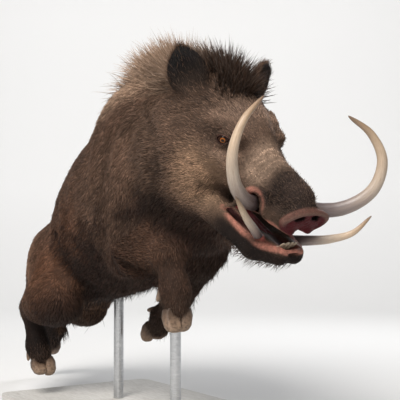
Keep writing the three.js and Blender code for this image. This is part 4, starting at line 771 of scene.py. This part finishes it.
def lofted(name, rings, material, nodes=(), along=None, grain=None):
    v, q, t0, t1 = loft(rings); bm_faces = [list(map(int, f)) for f in q] + [list(map(int, f)) for f in t0] + [list(map(int, f)) for f in t1]
    m = bpy.data.meshes.new(name); m.from_pydata(v.tolist(), [], bm_faces)
    m.polygons.foreach_set("use_smooth", np.ones(len(m.polygons), bool)); m.update()
    if along is not None: set_value(m, "along", np.concatenate([along, [along[0], along[-1]]]))
    if grain is not None:
        a = m.attributes.new("grain", "FLOAT_VECTOR", "POINT"); a.data.foreach_set("vector", np.concatenate([grain, grain[:1], grain[-1:]]).astype(np.float32).ravel())
    return piece(name, m, material, nodes) if material is not None else m
TUSKS = dict(upper_right=[(.149, .057, -.058), (.185, .118, -.026), (.198, .168, .022), (.191, .189, .085), (.174, .171, .146), (.149, .117, .190)],
             upper_left=[(.161, .064, -.069), (.212, .138, -.045), (.234, .192, .009), (.221, .207, .076), (.191, .176, .128), (.165, .115, .159)],
             lower_right=[(.178, .030, -.136), (.188, .067, -.100), (.202, .107, -.066), (.216, .146, -.029), (.231, .183, .008)],
             lower_left=[(.176, .066, -.143), (.210, .084, -.124), (.239, .112, -.105), (.260, .152, -.079), (.260, .191, -.038)])
TUSK_R = dict(upper_right=[.0185, .0175, .0152, .0124, .0090, .0038], upper_left=[.0185, .0180, .0160, .0132, .0098, .0042], lower_right=[.0115, .0108, .0092, .0066, .0026], lower_left=[.0135, .0125, .0105, .0075, .0028])
for name, pts in TUSKS.items():
    s = -1 if name.endswith("right") else 1; kind = name.split("_")[0]; n_al, n_ar = 84, 30
    C = spline([h(f, s * x, z) for f, x, z in pts], n_al); r = np.interp(np.linspace(0, 1, n_al), np.linspace(0, 1, len(pts)), TUSK_R[name])
    tip = np.linspace(0, 1, n_al); r = r * np.sqrt(np.clip(1 - ((tip - .93) / .072) ** 2, 0, 1) * (tip > .93) + (tip <= .93)); r[-1] = .0008
    Tn, A, B = frames(C, hdir(0, 0, 1)); th = np.linspace(0, 2 * math.pi, n_ar, endpoint=False)
    ripple = 1 + .012 * np.sin(tip * 95)[:, None] * step(.55, .0, tip)[:, None] + .010 * np.sin(3 * th + 1.0)[None]
    R = (r[:, None] * ripple)[..., None]
    rings = C[:, None] + R * (np.cos(th)[None, :, None] * A[:, None] + np.sin(th)[None, :, None] * .94 * B[:, None])
    al = np.repeat(tip, n_ar); gr = np.stack([np.tile(np.cos(th), n_al) * 1.6, np.tile(np.sin(th), n_al) * 1.6, al * 2.2 + (3 if kind == "lower" else 0) + s], 1)
    lofted("tusk_" + name, rings, IVORY, ["tusk_" + name], al, gr)

def hoof_rings(at, u, s, L, W, H, n=28, m=26):
    w = np.cross(u, s); tt = np.linspace(-.42, 1, m); tab = [-.42, .10, .66, 1.0]
    rw, rh, dz = np.interp(tt, tab, [.42, .50, .44, .26]), np.interp(tt, tab, [.42, .50, .40, .20]), np.interp(tt, tab, [0, 0, .09, .18])
    k = np.where(tt > .86, np.sqrt(np.clip(1 - ((tt - .86) / .145) ** 2, 0, 1)), 1.0); k = np.where(tt < -.34, k * (1 - .5 * ((-.34 - tt) / .08)), k)
    th = 2 * math.pi * np.arange(n) / n; rings = []
    for a, p, q, d, g in zip(tt, rw, rh, dz, k):
        c, s_ = np.cos(th), np.sin(th); x = np.where(c > 0, c * W * (p * 1.06 + .03) * g, np.sign(c) * np.abs(c) ** .45 * W * .455 * (.35 + .65 * g))
        z = np.sign(s_) * np.abs(s_) ** .85 * H * (q * 1.04 + .02) * (.5 + .5 * g); z = np.maximum(z, -H * .34) - H * d
        rings.append(at + u * (a * L) + s * x[:, None] + w * z[:, None])
    return np.array(rings), tt, th
for leg, n, sd in (("fore_right", "R", -1), ("fore_left", "L", 1), ("hind_right", "R", -1), ("hind_left", "L", 1)):
    is_fore = leg.startswith("fore"); fe, to = (J["ffe" + n], J["fto" + n]) if is_fore else (J["hfe" + n], J["hto" + n]); k = 1.0 if is_fore else .92
    for side, q in (("inner", -1), ("outer", 1)):
        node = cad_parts["hoof_%s_%s" % (leg, side)]; co = coords(node.data); HOOF_C = co.mean(0)
        q_ = np.sign(HOOF_C[0] - lerp(fe, to, .72)[0]); at = lerp(fe, to, .72) + V(q_ * .020 * k, 0, 0)
        u = unit(to - fe); s0 = V(1, 0, 0); s0 = unit(s0 - u * (s0 @ u))
        best = None
        for flip in (1, -1):                                   # the side up is the one that fills the solid's place
            rings, tt, th = hoof_rings(at, u * 1.0, s0 * q_, .046 * k, .044 * k, .046 * k * flip)
            lo, hi = rings.reshape(-1, 3).min(0), rings.reshape(-1, 3).max(0)
            miss = np.abs(lo - co.min(0)).sum() + np.abs(hi - co.max(0)).sum()
            if best is None or miss < best[0]: best = (miss, rings)
        rings = best[1]; m_, n_ = rings.shape[:2]; shift = (co.min(0) + co.max(0)) / 2 - (rings.reshape(-1, 3).min(0) + rings.reshape(-1, 3).max(0)) / 2
        shift[0] = 0
        rings = rings + shift
        al = np.repeat(np.linspace(0, 1, m_), n_); gr = np.stack([np.tile(np.cos(th), m_) * 1.3, np.tile(np.sin(th), m_) * 1.3, al * 5 + q + sd * 2], 1)
        lofted("hoof_%s_%s" % (leg, side), rings, HORN, ["hoof_%s_%s" % (leg, side)], al, gr)
        name = "dewclaw_%s_%s" % (leg, side); co = coords(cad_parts[name].data)
        c = co.mean(0); far = co[np.argmax(np.linalg.norm(co - c, axis=1))]; rest = co[np.linalg.norm(co - far, axis=1) > .02]; base = rest.mean(0)
        ax = unit(far - base); Lc = np.linalg.norm(far - base); tt = np.linspace(0, 1, 16); a0 = unit(np.cross(ax, V(.3, .5, .8)))
        r = .012 * k * np.sqrt(1 - tt ** 1.6 * .999); C = base + ax * (tt * Lc)[:, None]; b0 = np.cross(ax, a0); th2 = np.linspace(0, 2 * math.pi, 18, endpoint=False)
        rings = C[:, None] + r[:, None, None] * (np.cos(th2)[None, :, None] * a0 + np.sin(th2)[None, :, None] * b0)
        al = np.repeat(tt, 18); gr = np.stack([np.tile(np.cos(th2), 16), np.tile(np.sin(th2), 16), al * 4 + q], 1)
        lofted(name, rings, HORN, [name], al, gr)

# eyes: iris and pupil worked out from the angle to the gaze
for n, side, s in (("R", "right", -1), ("L", "left", 1)):
    c = EYES[n][0]; gaze = hdir(.66, s * .74, .02); a0 = unit(np.cross(gaze, hdir(0, 0, 1))); b0 = np.cross(gaze, a0)
    phi = np.concatenate([np.linspace(.02, .9, 44), np.linspace(.95, 3.12, 24)]); th = np.linspace(0, 2 * math.pi, 64, endpoint=False)
    R = EYE_R * (1 + .035 * np.exp(-(phi / .45) ** 2)) * .985
    rings = c + R[:, None, None] * (np.cos(phi)[:, None, None] * gaze + np.sin(phi)[:, None, None] * (np.cos(th)[None, :, None] * a0 + np.sin(th)[None, :, None] * b0))
    rings = rings[::-1]; ph = np.repeat(phi[::-1], 64); tt = np.tile(th, len(phi))
    fib = .5 + .5 * np.sin(tt * 37 + 2.2 * np.sin(tt * 5)) * np.sin(ph * 30 + tt * 3)
    amber, rim, deep = lin(136, 76, 28), lin(28, 14, 8), lin(76, 40, 16)
    col = mix(np.tile(amber, (len(ph), 1)), deep, fib * .7); col = mix(col, lin(150, 94, 38), step(.38, .28, ph) * .35); col = mix(col, rim, step(.40, .50, ph))
    col = mix(col, lin(44, 27, 21), step(.58, .74, ph)); pup = np.hypot(ph * np.cos(tt) / 1.25, ph * np.sin(tt)); col = mix(col, lin(3, 2, 2), step(.240, .200, pup))
    v, qd, t0, t1 = loft(rings); m = bpy.data.meshes.new("eye_" + side); m.from_pydata(v.tolist(), [], [list(map(int, f)) for g_ in (qd, t0, t1) for f in g_])
    m.polygons.foreach_set("use_smooth", np.ones(len(m.polygons), bool)); m.update(); set_colour(m, "tint", np.concatenate([col, col[:1], col[-1:]]))
    piece("eye_" + side, m, EYE, ["eye_" + side])

# tongue, with a groove down its middle
def tongue(P):
    f, x, z = head_units(P); return TONGUE(P) + .003 * np.exp(-(x / .004) ** 2) * (z > -.13) + .0006 * waves(P, .006, 9)
lo, hi = h(.12, 0, -.12) - .14, h(.12, 0, -.12) + .14
tv, tq = nets(shared(tongue), lo, hi, .0028); tv = settle(shared(tongue), tv); piece("tongue", mesh_of("tongue", tv, tq), TONGUE_M, ["tongue"])
# teeth: six small incisors at the front of the lower jaw
vs_, fs_, al_, off = [], [], [], 0
for x, L, w in ((.0058, 1.0, .0052), (.0168, .94, .0050), (.0268, .70, .0044)):
    for s in (-1, 1):
        a, b = h(.217, s * x * .96, -.144), h(.217 + .021 * L, s * x * 1.04, -.144 + .038 * L); tt = np.linspace(0, 1, 12); th = np.linspace(0, 2 * math.pi, 16, endpoint=False)
        C = a + (b - a) * tt[:, None]; ax = unit(b - a); sx = unit(hdir(0, 1, 0) - ax * (hdir(0, 1, 0) @ ax)); sy = np.cross(ax, sx)
        rx = w * S * np.interp(tt, [0, .5, .85, 1], [.72, 1, 1.0, .55]); ry = w * S * np.interp(tt, [0, .5, .85, 1], [.8, .78, .50, .18])
        rings = C[:, None] + rx[:, None, None] * np.cos(th)[None, :, None] * sx + ry[:, None, None] * np.sin(th)[None, :, None] * sy
        v, qd, t0, t1 = loft(rings); fs_ += [[int(i) + off for i in f] for g_ in (qd, t0, t1) for f in g_]; vs_.append(v); al_ += list(np.repeat(tt, 16)) + [0, 1]; off += len(v)
m = bpy.data.meshes.new("teeth"); m.from_pydata(np.concatenate(vs_).tolist(), [], fs_); m.polygons.foreach_set("use_smooth", np.ones(len(m.polygons), bool)); m.update(); set_value(m, "along", al_)
piece("teeth", m, TOOTH)

# ------------------------------------------------------------------ the coat
def unwrap(P, W):
    """A place on the skin's own unwrap: each part of the body rolled out along its own axis, in its own field of the map."""
    k = W.argmax(1); uv = np.zeros((len(P), 2)); q = P - HIP; a, t = q @ FW, q @ UP
    def put(m, u, v, field):
        x0, y0, x1, y1 = field; uv[m, 0] = x0 + .004 + (x1 - x0 - .008) * np.clip(u, 0, 1); uv[m, 1] = y0 + .004 + (y1 - y0 - .008) * np.clip(v, 0, 1)
    m = (k == 0) | (k == 1)
    put(m, np.arctan2(P[m, 0], t[m]) / (2 * math.pi) + .5, (a[m] + .25) / 1.25, (0, 0, .62, .58))
    f, x, z = head_units(P); m = k == 2
    put(m, np.arctan2(x[m], z[m] + .06) / (2 * math.pi) + .5, (f[m] + .28) / .56, (0, .58, .62, 1))
    i = 0
    for n in "RL":
        for kind in BONES:
            m = k == PART_NAMES.index(kind + n); u, at = along_limb(P[m], kind, n)
            pts = [J[b + n] for b in BONES[kind]]; j = np.clip(at.astype(int), 0, 3); c = np.array(pts)[j] + (np.array(pts)[j + 1] - np.array(pts)[j]) * (at - j)[:, None]
            d = P[m] - c; put(m, np.arctan2(d[:, 0], np.einsum("ij,ij->i", d, rows(np.cross(u, [1.0, 0, 0])))) / (2 * math.pi) + .5, at / 4, (.62, .2 * i, 1, .2 * i + .2)); i += 1
        m = k == PART_NAMES.index("ear" + n); a0, b0, u, mm, w, L = ear_frame(n); d = P[m] - a0
        put(m, np.arctan2(d @ w, d @ mm) / (2 * math.pi) + .5, (d @ u) / L, (.62 + (.12 if n == "L" else 0), .8, .74 + (.12 if n == "L" else 0), 1))
    m = k == PART_NAMES.index("tail"); put(m, P[m, 0] * 4 + .5, (P[m, 2] - .2) * 2, (.86, .8, 1, 1))
    return uv
def sample(mesh, weight, count, rng):
    """Seeded random places on the mesh, as thick as weight (one number a face) says: points, normals and faces."""
    n = len(mesh.polygons); mesh.calc_loop_triangles(); k = len(mesh.loop_triangles)
    tri = np.zeros(k * 3, np.int32); mesh.loop_triangles.foreach_get("vertices", tri); tri = tri.reshape(-1, 3)
    P = coords(mesh); N = vertex_normals(mesh)
    area = np.linalg.norm(np.cross(P[tri[:, 1]] - P[tri[:, 0]], P[tri[:, 2]] - P[tri[:, 0]]), axis=1) / 2
    w = area * weight[tri].mean(1); w = w / w.sum()
    pick = np.searchsorted(np.cumsum(w), (np.arange(count) + rng.random(count)) / count).clip(0, k - 1)
    u, v = rng.random(count), rng.random(count); f = u + v > 1; u[f], v[f] = 1 - u[f], 1 - v[f]
    t = tri[pick]; b = np.stack([1 - u - v, u, v], 1)
    return (P[t] * b[..., None]).sum(1), rows((N[t] * b[..., None]).sum(1)), t, b
def tufts(name, path, width, tint, uv, side, flat=.55, mat=None, shade=(.55, 1.0, 1.15), rng=None):
    """Closed tapered tufts. path: (n, k, 3) points from root to tip; width: (n,) at the widest; side: (n, 3) across.
    Each is a point at the root, rings of three, and a point at the tip."""
    n, k, _ = path.shape; rings = k - 2; prof = np.interp(np.linspace(0, 1, k)[1:-1], [0, .25, .6, 1], [.7, 1, .72, .0])
    d = rows(path[:, -1] - path[:, 0]); side = rows(side - d * np.einsum("ij,ij->i", side, d)[:, None]); up = np.cross(side, d)
    per = 2 + 3 * rings; V_ = np.zeros((n, per, 3), np.float32); V_[:, 0] = path[:, 0]; V_[:, -1] = path[:, -1]
    for r in range(rings):
        for j in range(3):
            th = 2 * math.pi * j / 3 + .5; V_[:, 1 + 3 * r + j] = path[:, 1 + r] + (width * prof[r] * .5)[:, None] * (math.cos(th) * side + math.sin(th) * flat * up)
    F = []
    for j in range(3): F.append((0, 1 + (j + 1) % 3, 1 + j))
    for r in range(rings - 1):
        for j in range(3):
            a, b = 1 + 3 * r + j, 1 + 3 * r + (j + 1) % 3; F += [(a, b, b + 3), (a, b + 3, a + 3)]
    for j in range(3): a = 1 + 3 * (rings - 1); F.append((a + j, a + (j + 1) % 3, per - 1))
    F = np.array(F, np.int64); faces = (F[None] + (np.arange(n) * per)[:, None, None]).reshape(-1, 3)
    m = mesh_of(name, V_.reshape(-1, 3), faces)
    t = np.zeros(per); t[-1] = 1
    for r in range(rings): t[1 + 3 * r:4 + 3 * r] = (1 + r) / (k - 1)
    g = np.interp(t, [0, .4, 1], shade); col = tint[:, None] * g[None, :, None]
    set_colour(m, "tint", col.reshape(-1, 3))
    # the bake map: a patch .003 across for each tuft at its root's place
    loc = np.zeros((per, 2)); loc[:, 1] = (t - .5) * .0028
    for r in range(rings): loc[1 + 3 * r:4 + 3 * r, 0] = (-.0014, 0, .0014)
    per_uv = (np.clip(uv, .002, .998)[:, None] + loc[None]).reshape(-1, 2).astype(np.float32)
    li = np.zeros(len(m.loops), np.int32); m.loops.foreach_get("vertex_index", li)
    layer = m.uv_layers.new(name="OFBake"); layer.uv.foreach_set("vector", per_uv[li].ravel())
    return piece(name, m, mat or COAT)
def grow(P, N, G, length, lift, k, bend=.10, curl=None, sink=.0015):
    """Hair paths of k points: they leave the skin at lift and lie down by bend towards the tip."""
    pts = [P - N * sink]; p = pts[0]
    for i in range(1, k):
        f = (i - .5) / (k - 1); a = lift + bend * (1 - 2 * f); d = G * np.cos(a)[:, None] + N * np.sin(a)[:, None]
        if curl is not None: d = rows(d + curl * (f * 1.2))
        p = p + d * (length / (k - 1))[:, None]; pts.append(p)
    return np.stack(pts, 1)
hf, hx, hz = head_units(SP); HEADW = SW[:, 2]; NECKW = SW[:, 1]; LOWW = limb_low(SP, SW); EARW = SW[:, PART_NAMES.index("earR")] + SW[:, PART_NAMES.index("earL")]
haired = np.clip(1 - 1.5 * bare, 0, 1)
faceness = np.clip(HEADW * step(-.14, .02, hf) + step(.0, .08, hf) * near_head(SP), 0, 1)
small = np.clip(np.maximum.reduce([faceness, LOWW * 1.1, EARW]), 0, 1)                # 1 where the tufts are smallest
def lengths(P, N, W, small, f, x, z):
    q = P - HIP; a, t = q @ FW, q @ UP
    L = .020 + .003 * step(.4, .7, a) + .012 * step(-.16, -.24, t) * step(.0, .1, a)
    L = L + .004 * W[:, 1]
    L = np.where(W[:, 2] > .5, .017 + .011 * step(.02, -.12, f) * step(.02, -.08, z), L)
    L = lerp(L, .0075 + .008 * step(.10, -.04, f) * (W[:, 2] > .3), small)
    L = lerp(L, .012, np.clip(limb_low(P, W) * 1.2, 0, 1))
    e = W[:, PART_NAMES.index("earR")] + W[:, PART_NAMES.index("earL")]; L = lerp(L, .015, e)
    return L
def coat_layer(name, count, weight, seed, scale=1.0, lift0=.20, k=3, tone=1.0, width=1.0, only=None, spread=.24, shade=(.42, .94, 1.42), split=1, grizzle=.15):
    r = np.random.default_rng(seed); P, N, t, b = sample(mesh, weight, count, r)
    W = shares(P); f, x, z = head_units(P); G = lie(P, N, W)
    sm = (small[t] * b).sum(1)
    L = lengths(P, N, W, sm, f, x, z) * scale * r.uniform(.72, 1.28, count)
    side = np.cross(N, G); G = rows(G + side * (r.normal(size=count) * spread)[:, None])
    lift = lift0 * r.uniform(.45, 1.6, count) * (1 - .45 * sm)
    q = P - HIP; tt = q @ UP
    lift += .25 * step(-.12, -.20, tt) * (W[:, 0] > .4) * (q @ FW > .02)
    c = markings_and_painted_shade(P, N, W); lum = r.normal(0, .17, count); c = c * np.clip(1 + lum, .45, 1.7)[:, None] * tone
    g = r.random(count) < grizzle; c[g] = c[g] * 1.55 + .010
    d = r.random(count) < .14; c[d] *= .5
    w = (.0031 * (1 - sm) + .0016 * sm) * width * r.uniform(.75, 1.25, count)
    path = grow(P, N, G, L, lift, k, bend=.16)
    cut = np.array_split(np.argsort(P[:, 1], kind="stable"), split)
    uv = unwrap(P, W); S_ = np.cross(N, G)
    for i, c_ in enumerate(cut):
        tufts(name + ("_%d" % (i + 1) if split > 1 else ""), path[c_], w[c_], np.clip(c[c_], .002, .95), uv[c_], S_[c_], shade=shade)
share = 1.0
body_w = haired * (1 - small) * (1 + .0 * LOWW) + 1e-9
face_w = haired * small * (1 + 2.4 * faceness) + 1e-9
coat_layer("coat_under", int(31000 * share), body_w, 1, .90, .10, 3, .80, 1.32, split=2)
coat_layer("coat_over", int(80000 * share), body_w, 2, .95, .18, 3, 1.05, .80, split=4)
coat_layer("coat_small", int(65000 * share), face_w, 3, 1.0, .22, 3, 1.0, .95, split=2)

# ------------------------------------------------------------------ the mane: long bristles that stand up and fan out from the crest
CREST = [h(.012, 0, .105), h(-.06, 0, .135), h(-.13, 0, .14), h(-.20, 0, .10), T(.66, 0, .30), T(.52, 0, .29), T(.36, 0, .22), T(.18, 0, .17), T(.0, 0, .15), T(-.12, 0, .13)]
CREST_LEN = [.030, .070, .088, .106, .122, .126, .106, .080, .072, .062]
CREST_WIDE = [.030, .052, .060, .058, .052, .046, .036, .026, .020, .018]
CREST_THICK = [.0, 1.0, 1.25, 1.15, 1.1, 1.0, .8, .6, .50, .35]
def crest_place(P):
    """Where along the crest a point is, from 0 to 1, and how far to the side of it."""
    best = np.full(len(P), 9.0); at = np.zeros(len(P)); off = np.zeros((len(P), 3)); n = len(CREST) - 1
    for i, (a, b) in enumerate(zip(CREST[:-1], CREST[1:])):
        ba = b - a; t = np.clip((P - a) @ ba / (ba @ ba), 0, 1); q = P - (a + t[:, None] * ba); d = np.linalg.norm(q, axis=1)
        m = d < best; best[m] = d[m]; at[m] = (i + t[m]) / n; off[m] = q[m]
    return at, off
TT = np.linspace(0, 1, len(CREST))
at_, off_ = crest_place(SP)
wide = np.interp(at_, TT, CREST_WIDE); thick = np.interp(at_, TT, CREST_THICK)
lat = np.abs(off_[:, 0]); top_side = step(-.05, .35, SN[:, 2])
mane_w = np.exp(-(lat / wide) ** 2 * 1.3) * thick * top_side * haired * (1 - EARW) * (np.linalg.norm(off_, axis=1) < .12) * step(-.030, -.062, hf) * step(.012, .026, np.minimum(shared(EAR["R"])(SP), shared(EAR["L"])(SP))) + 1e-12
def mane_layer(name, count, seed, scale, width, k, split, lean=1.0, tone=1.0, shade=(.42, .85, 1.25)):
    r = np.random.default_rng(seed); P, N, t, b = sample(mesh, mane_w, count, r)
    W = shares(P); G = lie(P, N, W); at, off = crest_place(P); u = off[:, 0] / np.interp(at, TT, CREST_WIDE)
    L = np.interp(at, TT, CREST_LEN) * scale * (r.uniform(.50, 1.05, count) + .22 * (r.random(count) < .22)) * (1 - .25 * np.clip(np.abs(u), 0, 1.5) ** 1.5 / 1.8)
    near = u < 0; N2 = N * np.where(near[:, None], V(.35, 1, 1), V(1, 1, 1))
    fan = N2 * 1.0 + XX * (np.where(near, .12, .62) * np.clip(u, -1.6, 1.6) * lean)[:, None] + rows(G) * (.55 + .55 * step(.35, .8, at) - .60 * step(.30, .05, at))[:, None]
    fan = rows(fan + .20 * r.normal(size=(count, 3)))
    a0 = r.normal(size=(count, 3)) * .12; curl = a0 + G * .22 - UP * (.10 + .18 * np.clip(np.abs(u), 0, 1.5))[:, None]
    pts = [P - N * .003]; p = pts[0]
    for i in range(1, k):
        f = (i - .5) / (k - 1); p = p + rows(fan + curl * f * 1.2) * (L / (k - 1))[:, None]; pts.append(p)
    path = np.stack(pts, 1); root = path[:, :1]; rise = path[:, :, 2].max(1) - root[:, 0, 2]      # bristles that would rise more than 30 mm above the CAD box's top are scaled down towards the root, to no less than a fifth of their length
    path = root + (path - root) * np.clip((CAD_BOX[1][2] + .030 - root[:, 0, 2]) / np.maximum(rise, 1e-6), .2, 1)[:, None, None]
    c = mix(np.tile(lin(42, 28, 19), (count, 1)), lin(146, 122, 103), step(.24, .46, at)) * np.clip(1 + r.normal(0, .22, count), .4, 1.7)[:, None] * tone
    pale = r.random(count) < .22; c[pale] = c[pale] * 1.5 + .02
    w = width * r.uniform(.7, 1.25, count); uv = unwrap(P, W); S_ = np.cross(N, G) + .4 * r.normal(size=(count, 3))
    for i, c_ in enumerate(np.array_split(np.argsort(at, kind="stable"), split)):
        o = tufts(name + "_%d" % (i + 1), path[c_], w[c_], np.clip(c[c_], .002, .95), uv[c_], S_[c_], .8, MANE, shade)
mane_layer("mane", int(8200 * (1)), 41, 1.0, .0021, 6, 2)
mane_layer("mane_under", int(6000 * (1)), 42, .62, .0024, 4, 1, tone=.8)
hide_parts("mane")

# ------------------------------------------------------------------ beard, whiskers and other longer bristles
def bristles(name, weight, count, seed, length, lift, width, tint, k=4, drop=.25, spread=.35, shade=(.6, 1.0, 1.2)):
    r = np.random.default_rng(seed); P, N, t, b = sample(mesh, weight + 1e-12, count, r); W = shares(P); G = lie(P, N, W)
    side = np.cross(N, G); G = rows(G + side * (r.normal(size=count) * spread)[:, None])
    L = length * r.uniform(.5, 1.3, count); curl = -UP * drop * np.ones((count, 1)) + r.normal(size=(count, 3)) * .10
    path = grow(P, N, G, L, lift * r.uniform(.7, 1.3, count), k, .12, curl)
    c = np.tile(tint, (count, 1)) * np.clip(1 + r.normal(0, .25, count), .4, 1.8)[:, None]
    tufts(name, path, width * r.uniform(.7, 1.3, count), np.clip(c, .002, .95), unwrap(P, W), side, .8, MANE, shade)
chin_w = haired * step(.06, .14, hf) * step(-.150, -.170, hz) * step(.3, -.4, SN[:, 2]) * near_head(SP)
throat_w = haired * step(.10, -.02, hf) * step(-.35, -.20, hf) * step(-.13, -.17, hz) * step(.2, -.5, SN[:, 2])
bristles("beard", chin_w + .35 * throat_w, int(3200 * share), 51, .030, .62, .0013, lin(58, 44, 36))
muzzle_w = haired * step(-.02, .05, hf) * step(-.06, -.02, hz) * near_head(SP)
bristles("muzzle_hair", muzzle_w, int(3800 * share), 52, .0100, .62, .0010, lin(96, 78, 66), 3, .0)
belly_w = haired * step(-.10, -.45, SN[:, 2]) * np.clip(SW[:, 0] + SW[:, 1], 0, 1)
bristles("belly_fringe", belly_w, int(4200 * share), 53, .046, .38, .0017, lin(40, 28, 23), 4, .30)
inner_ = np.maximum(SN @ ear_frame("R")[3], SN @ ear_frame("L")[3])
ear_edge = EARW * haired * (.03 + step(.35, -.15, inner_))
bristles("ear_hair", ear_edge, int(2600 * share), 54, .022, .40, .0011, lin(80, 60, 47), 4, -.05)
bristles("tail_tuft", SW[:, PART_NAMES.index("tail")] * step(.42, .34, SP[:, 2]), int(500 * share) + 50, 55, .050, .18, .0020, lin(60, 46, 38), 5, .15, .2)
fetlock = haired * step(.62, .80, LOWW)
bristles("fetlock_hair", fetlock, int(2600 * share), 56, .022, .20, .0013, lin(74, 58, 48), 3, .0)

# ------------------------------------------------------------------ studio
def studio():
    m = bpy.data.materials.new("studio_floor"); m.use_nodes = True; t = m.node_tree
    b = t.nodes["Principled BSDF"]; b.inputs["Roughness"].default_value = .9
    sep = t.nodes.new("ShaderNodeSeparateXYZ"); t.links.new(t.nodes.new("ShaderNodeTexCoord").outputs["Object"], sep.inputs[0])
    # the flat floor is darker than the backdrop: painted shade that offsets the brighter pool of key light on it
    t.links.new(remap(t, sep.outputs["Z"], .05, 1.1, .80, .89), b.inputs["Base Color"])
    prof = []
    R, D = 3.0, 7.0
    pts = [(-9.0, 0.0), (D - R, 0.0)] + [(D - R + R * math.sin(a), R - R * math.cos(a)) for a in np.linspace(0, math.pi / 2, 24)[1:]] + [(D, 9.0)]
    d = -back; d = unit(V(d.x, d.y, 0)); side = V(-d[1], d[0], 0)
    vs, fs = [], []
    for i, (along, z) in enumerate(pts):
        for k in (-12, 12): vs.append(d * along + side * k + V(0, 0, z))
        if i: a = 2 * i; fs.append((a - 2, a - 1, a + 1, a))
    o = bpy.data.objects.new("studio_floor", mesh_of("studio_floor", np.array(vs), np.array(fs)))
    o.data.materials.append(m); bpy.context.scene.collection.objects.link(o)
studio()
def lamp(name, at, aim, size, power, colour=(1, 1, 1)):
    L = bpy.data.lights.new(name, "AREA"); L.shape = "DISK"; L.size = size; L.energy = power; L.color = colour
    o = bpy.data.objects.new(name, L); o.location = at
    o.rotation_euler = (Vector(at) - Vector(aim)).to_track_quat("Z", "Y").to_euler()
    bpy.context.scene.collection.objects.link(o); return o
world = bpy.data.worlds.new("studio"); bpy.context.scene.world = world; world.use_nodes = True
world.node_tree.nodes["Background"].inputs["Color"].default_value = (1, 1, 1, 1)
world.node_tree.nodes["Background"].inputs["Strength"].default_value = .28
lamp("key", (-2.5, -2.0, 3.5), (0, 0, .6), 2.3, 268, (1, .965, .92))
lamp("rim", (2.6, 1.2, 2.4), (0, 0, .7), 1.2, 26, (.95, .97, 1))
d = V(-back[0], -back[1], 0); d = unit(d); sd = V(-d[1], d[0], 0)
for i, k in enumerate((-1, 1)):
    lamp("backdrop_%d" % i, tuple(d * 2.6 + sd * 2.6 * k + V(0, 0, 3.8)), tuple(d * 7 + sd * .8 * k + V(0, 0, 1.6)), 2.0, 70)
bpy.context.scene.view_settings.view_transform = "Standard"
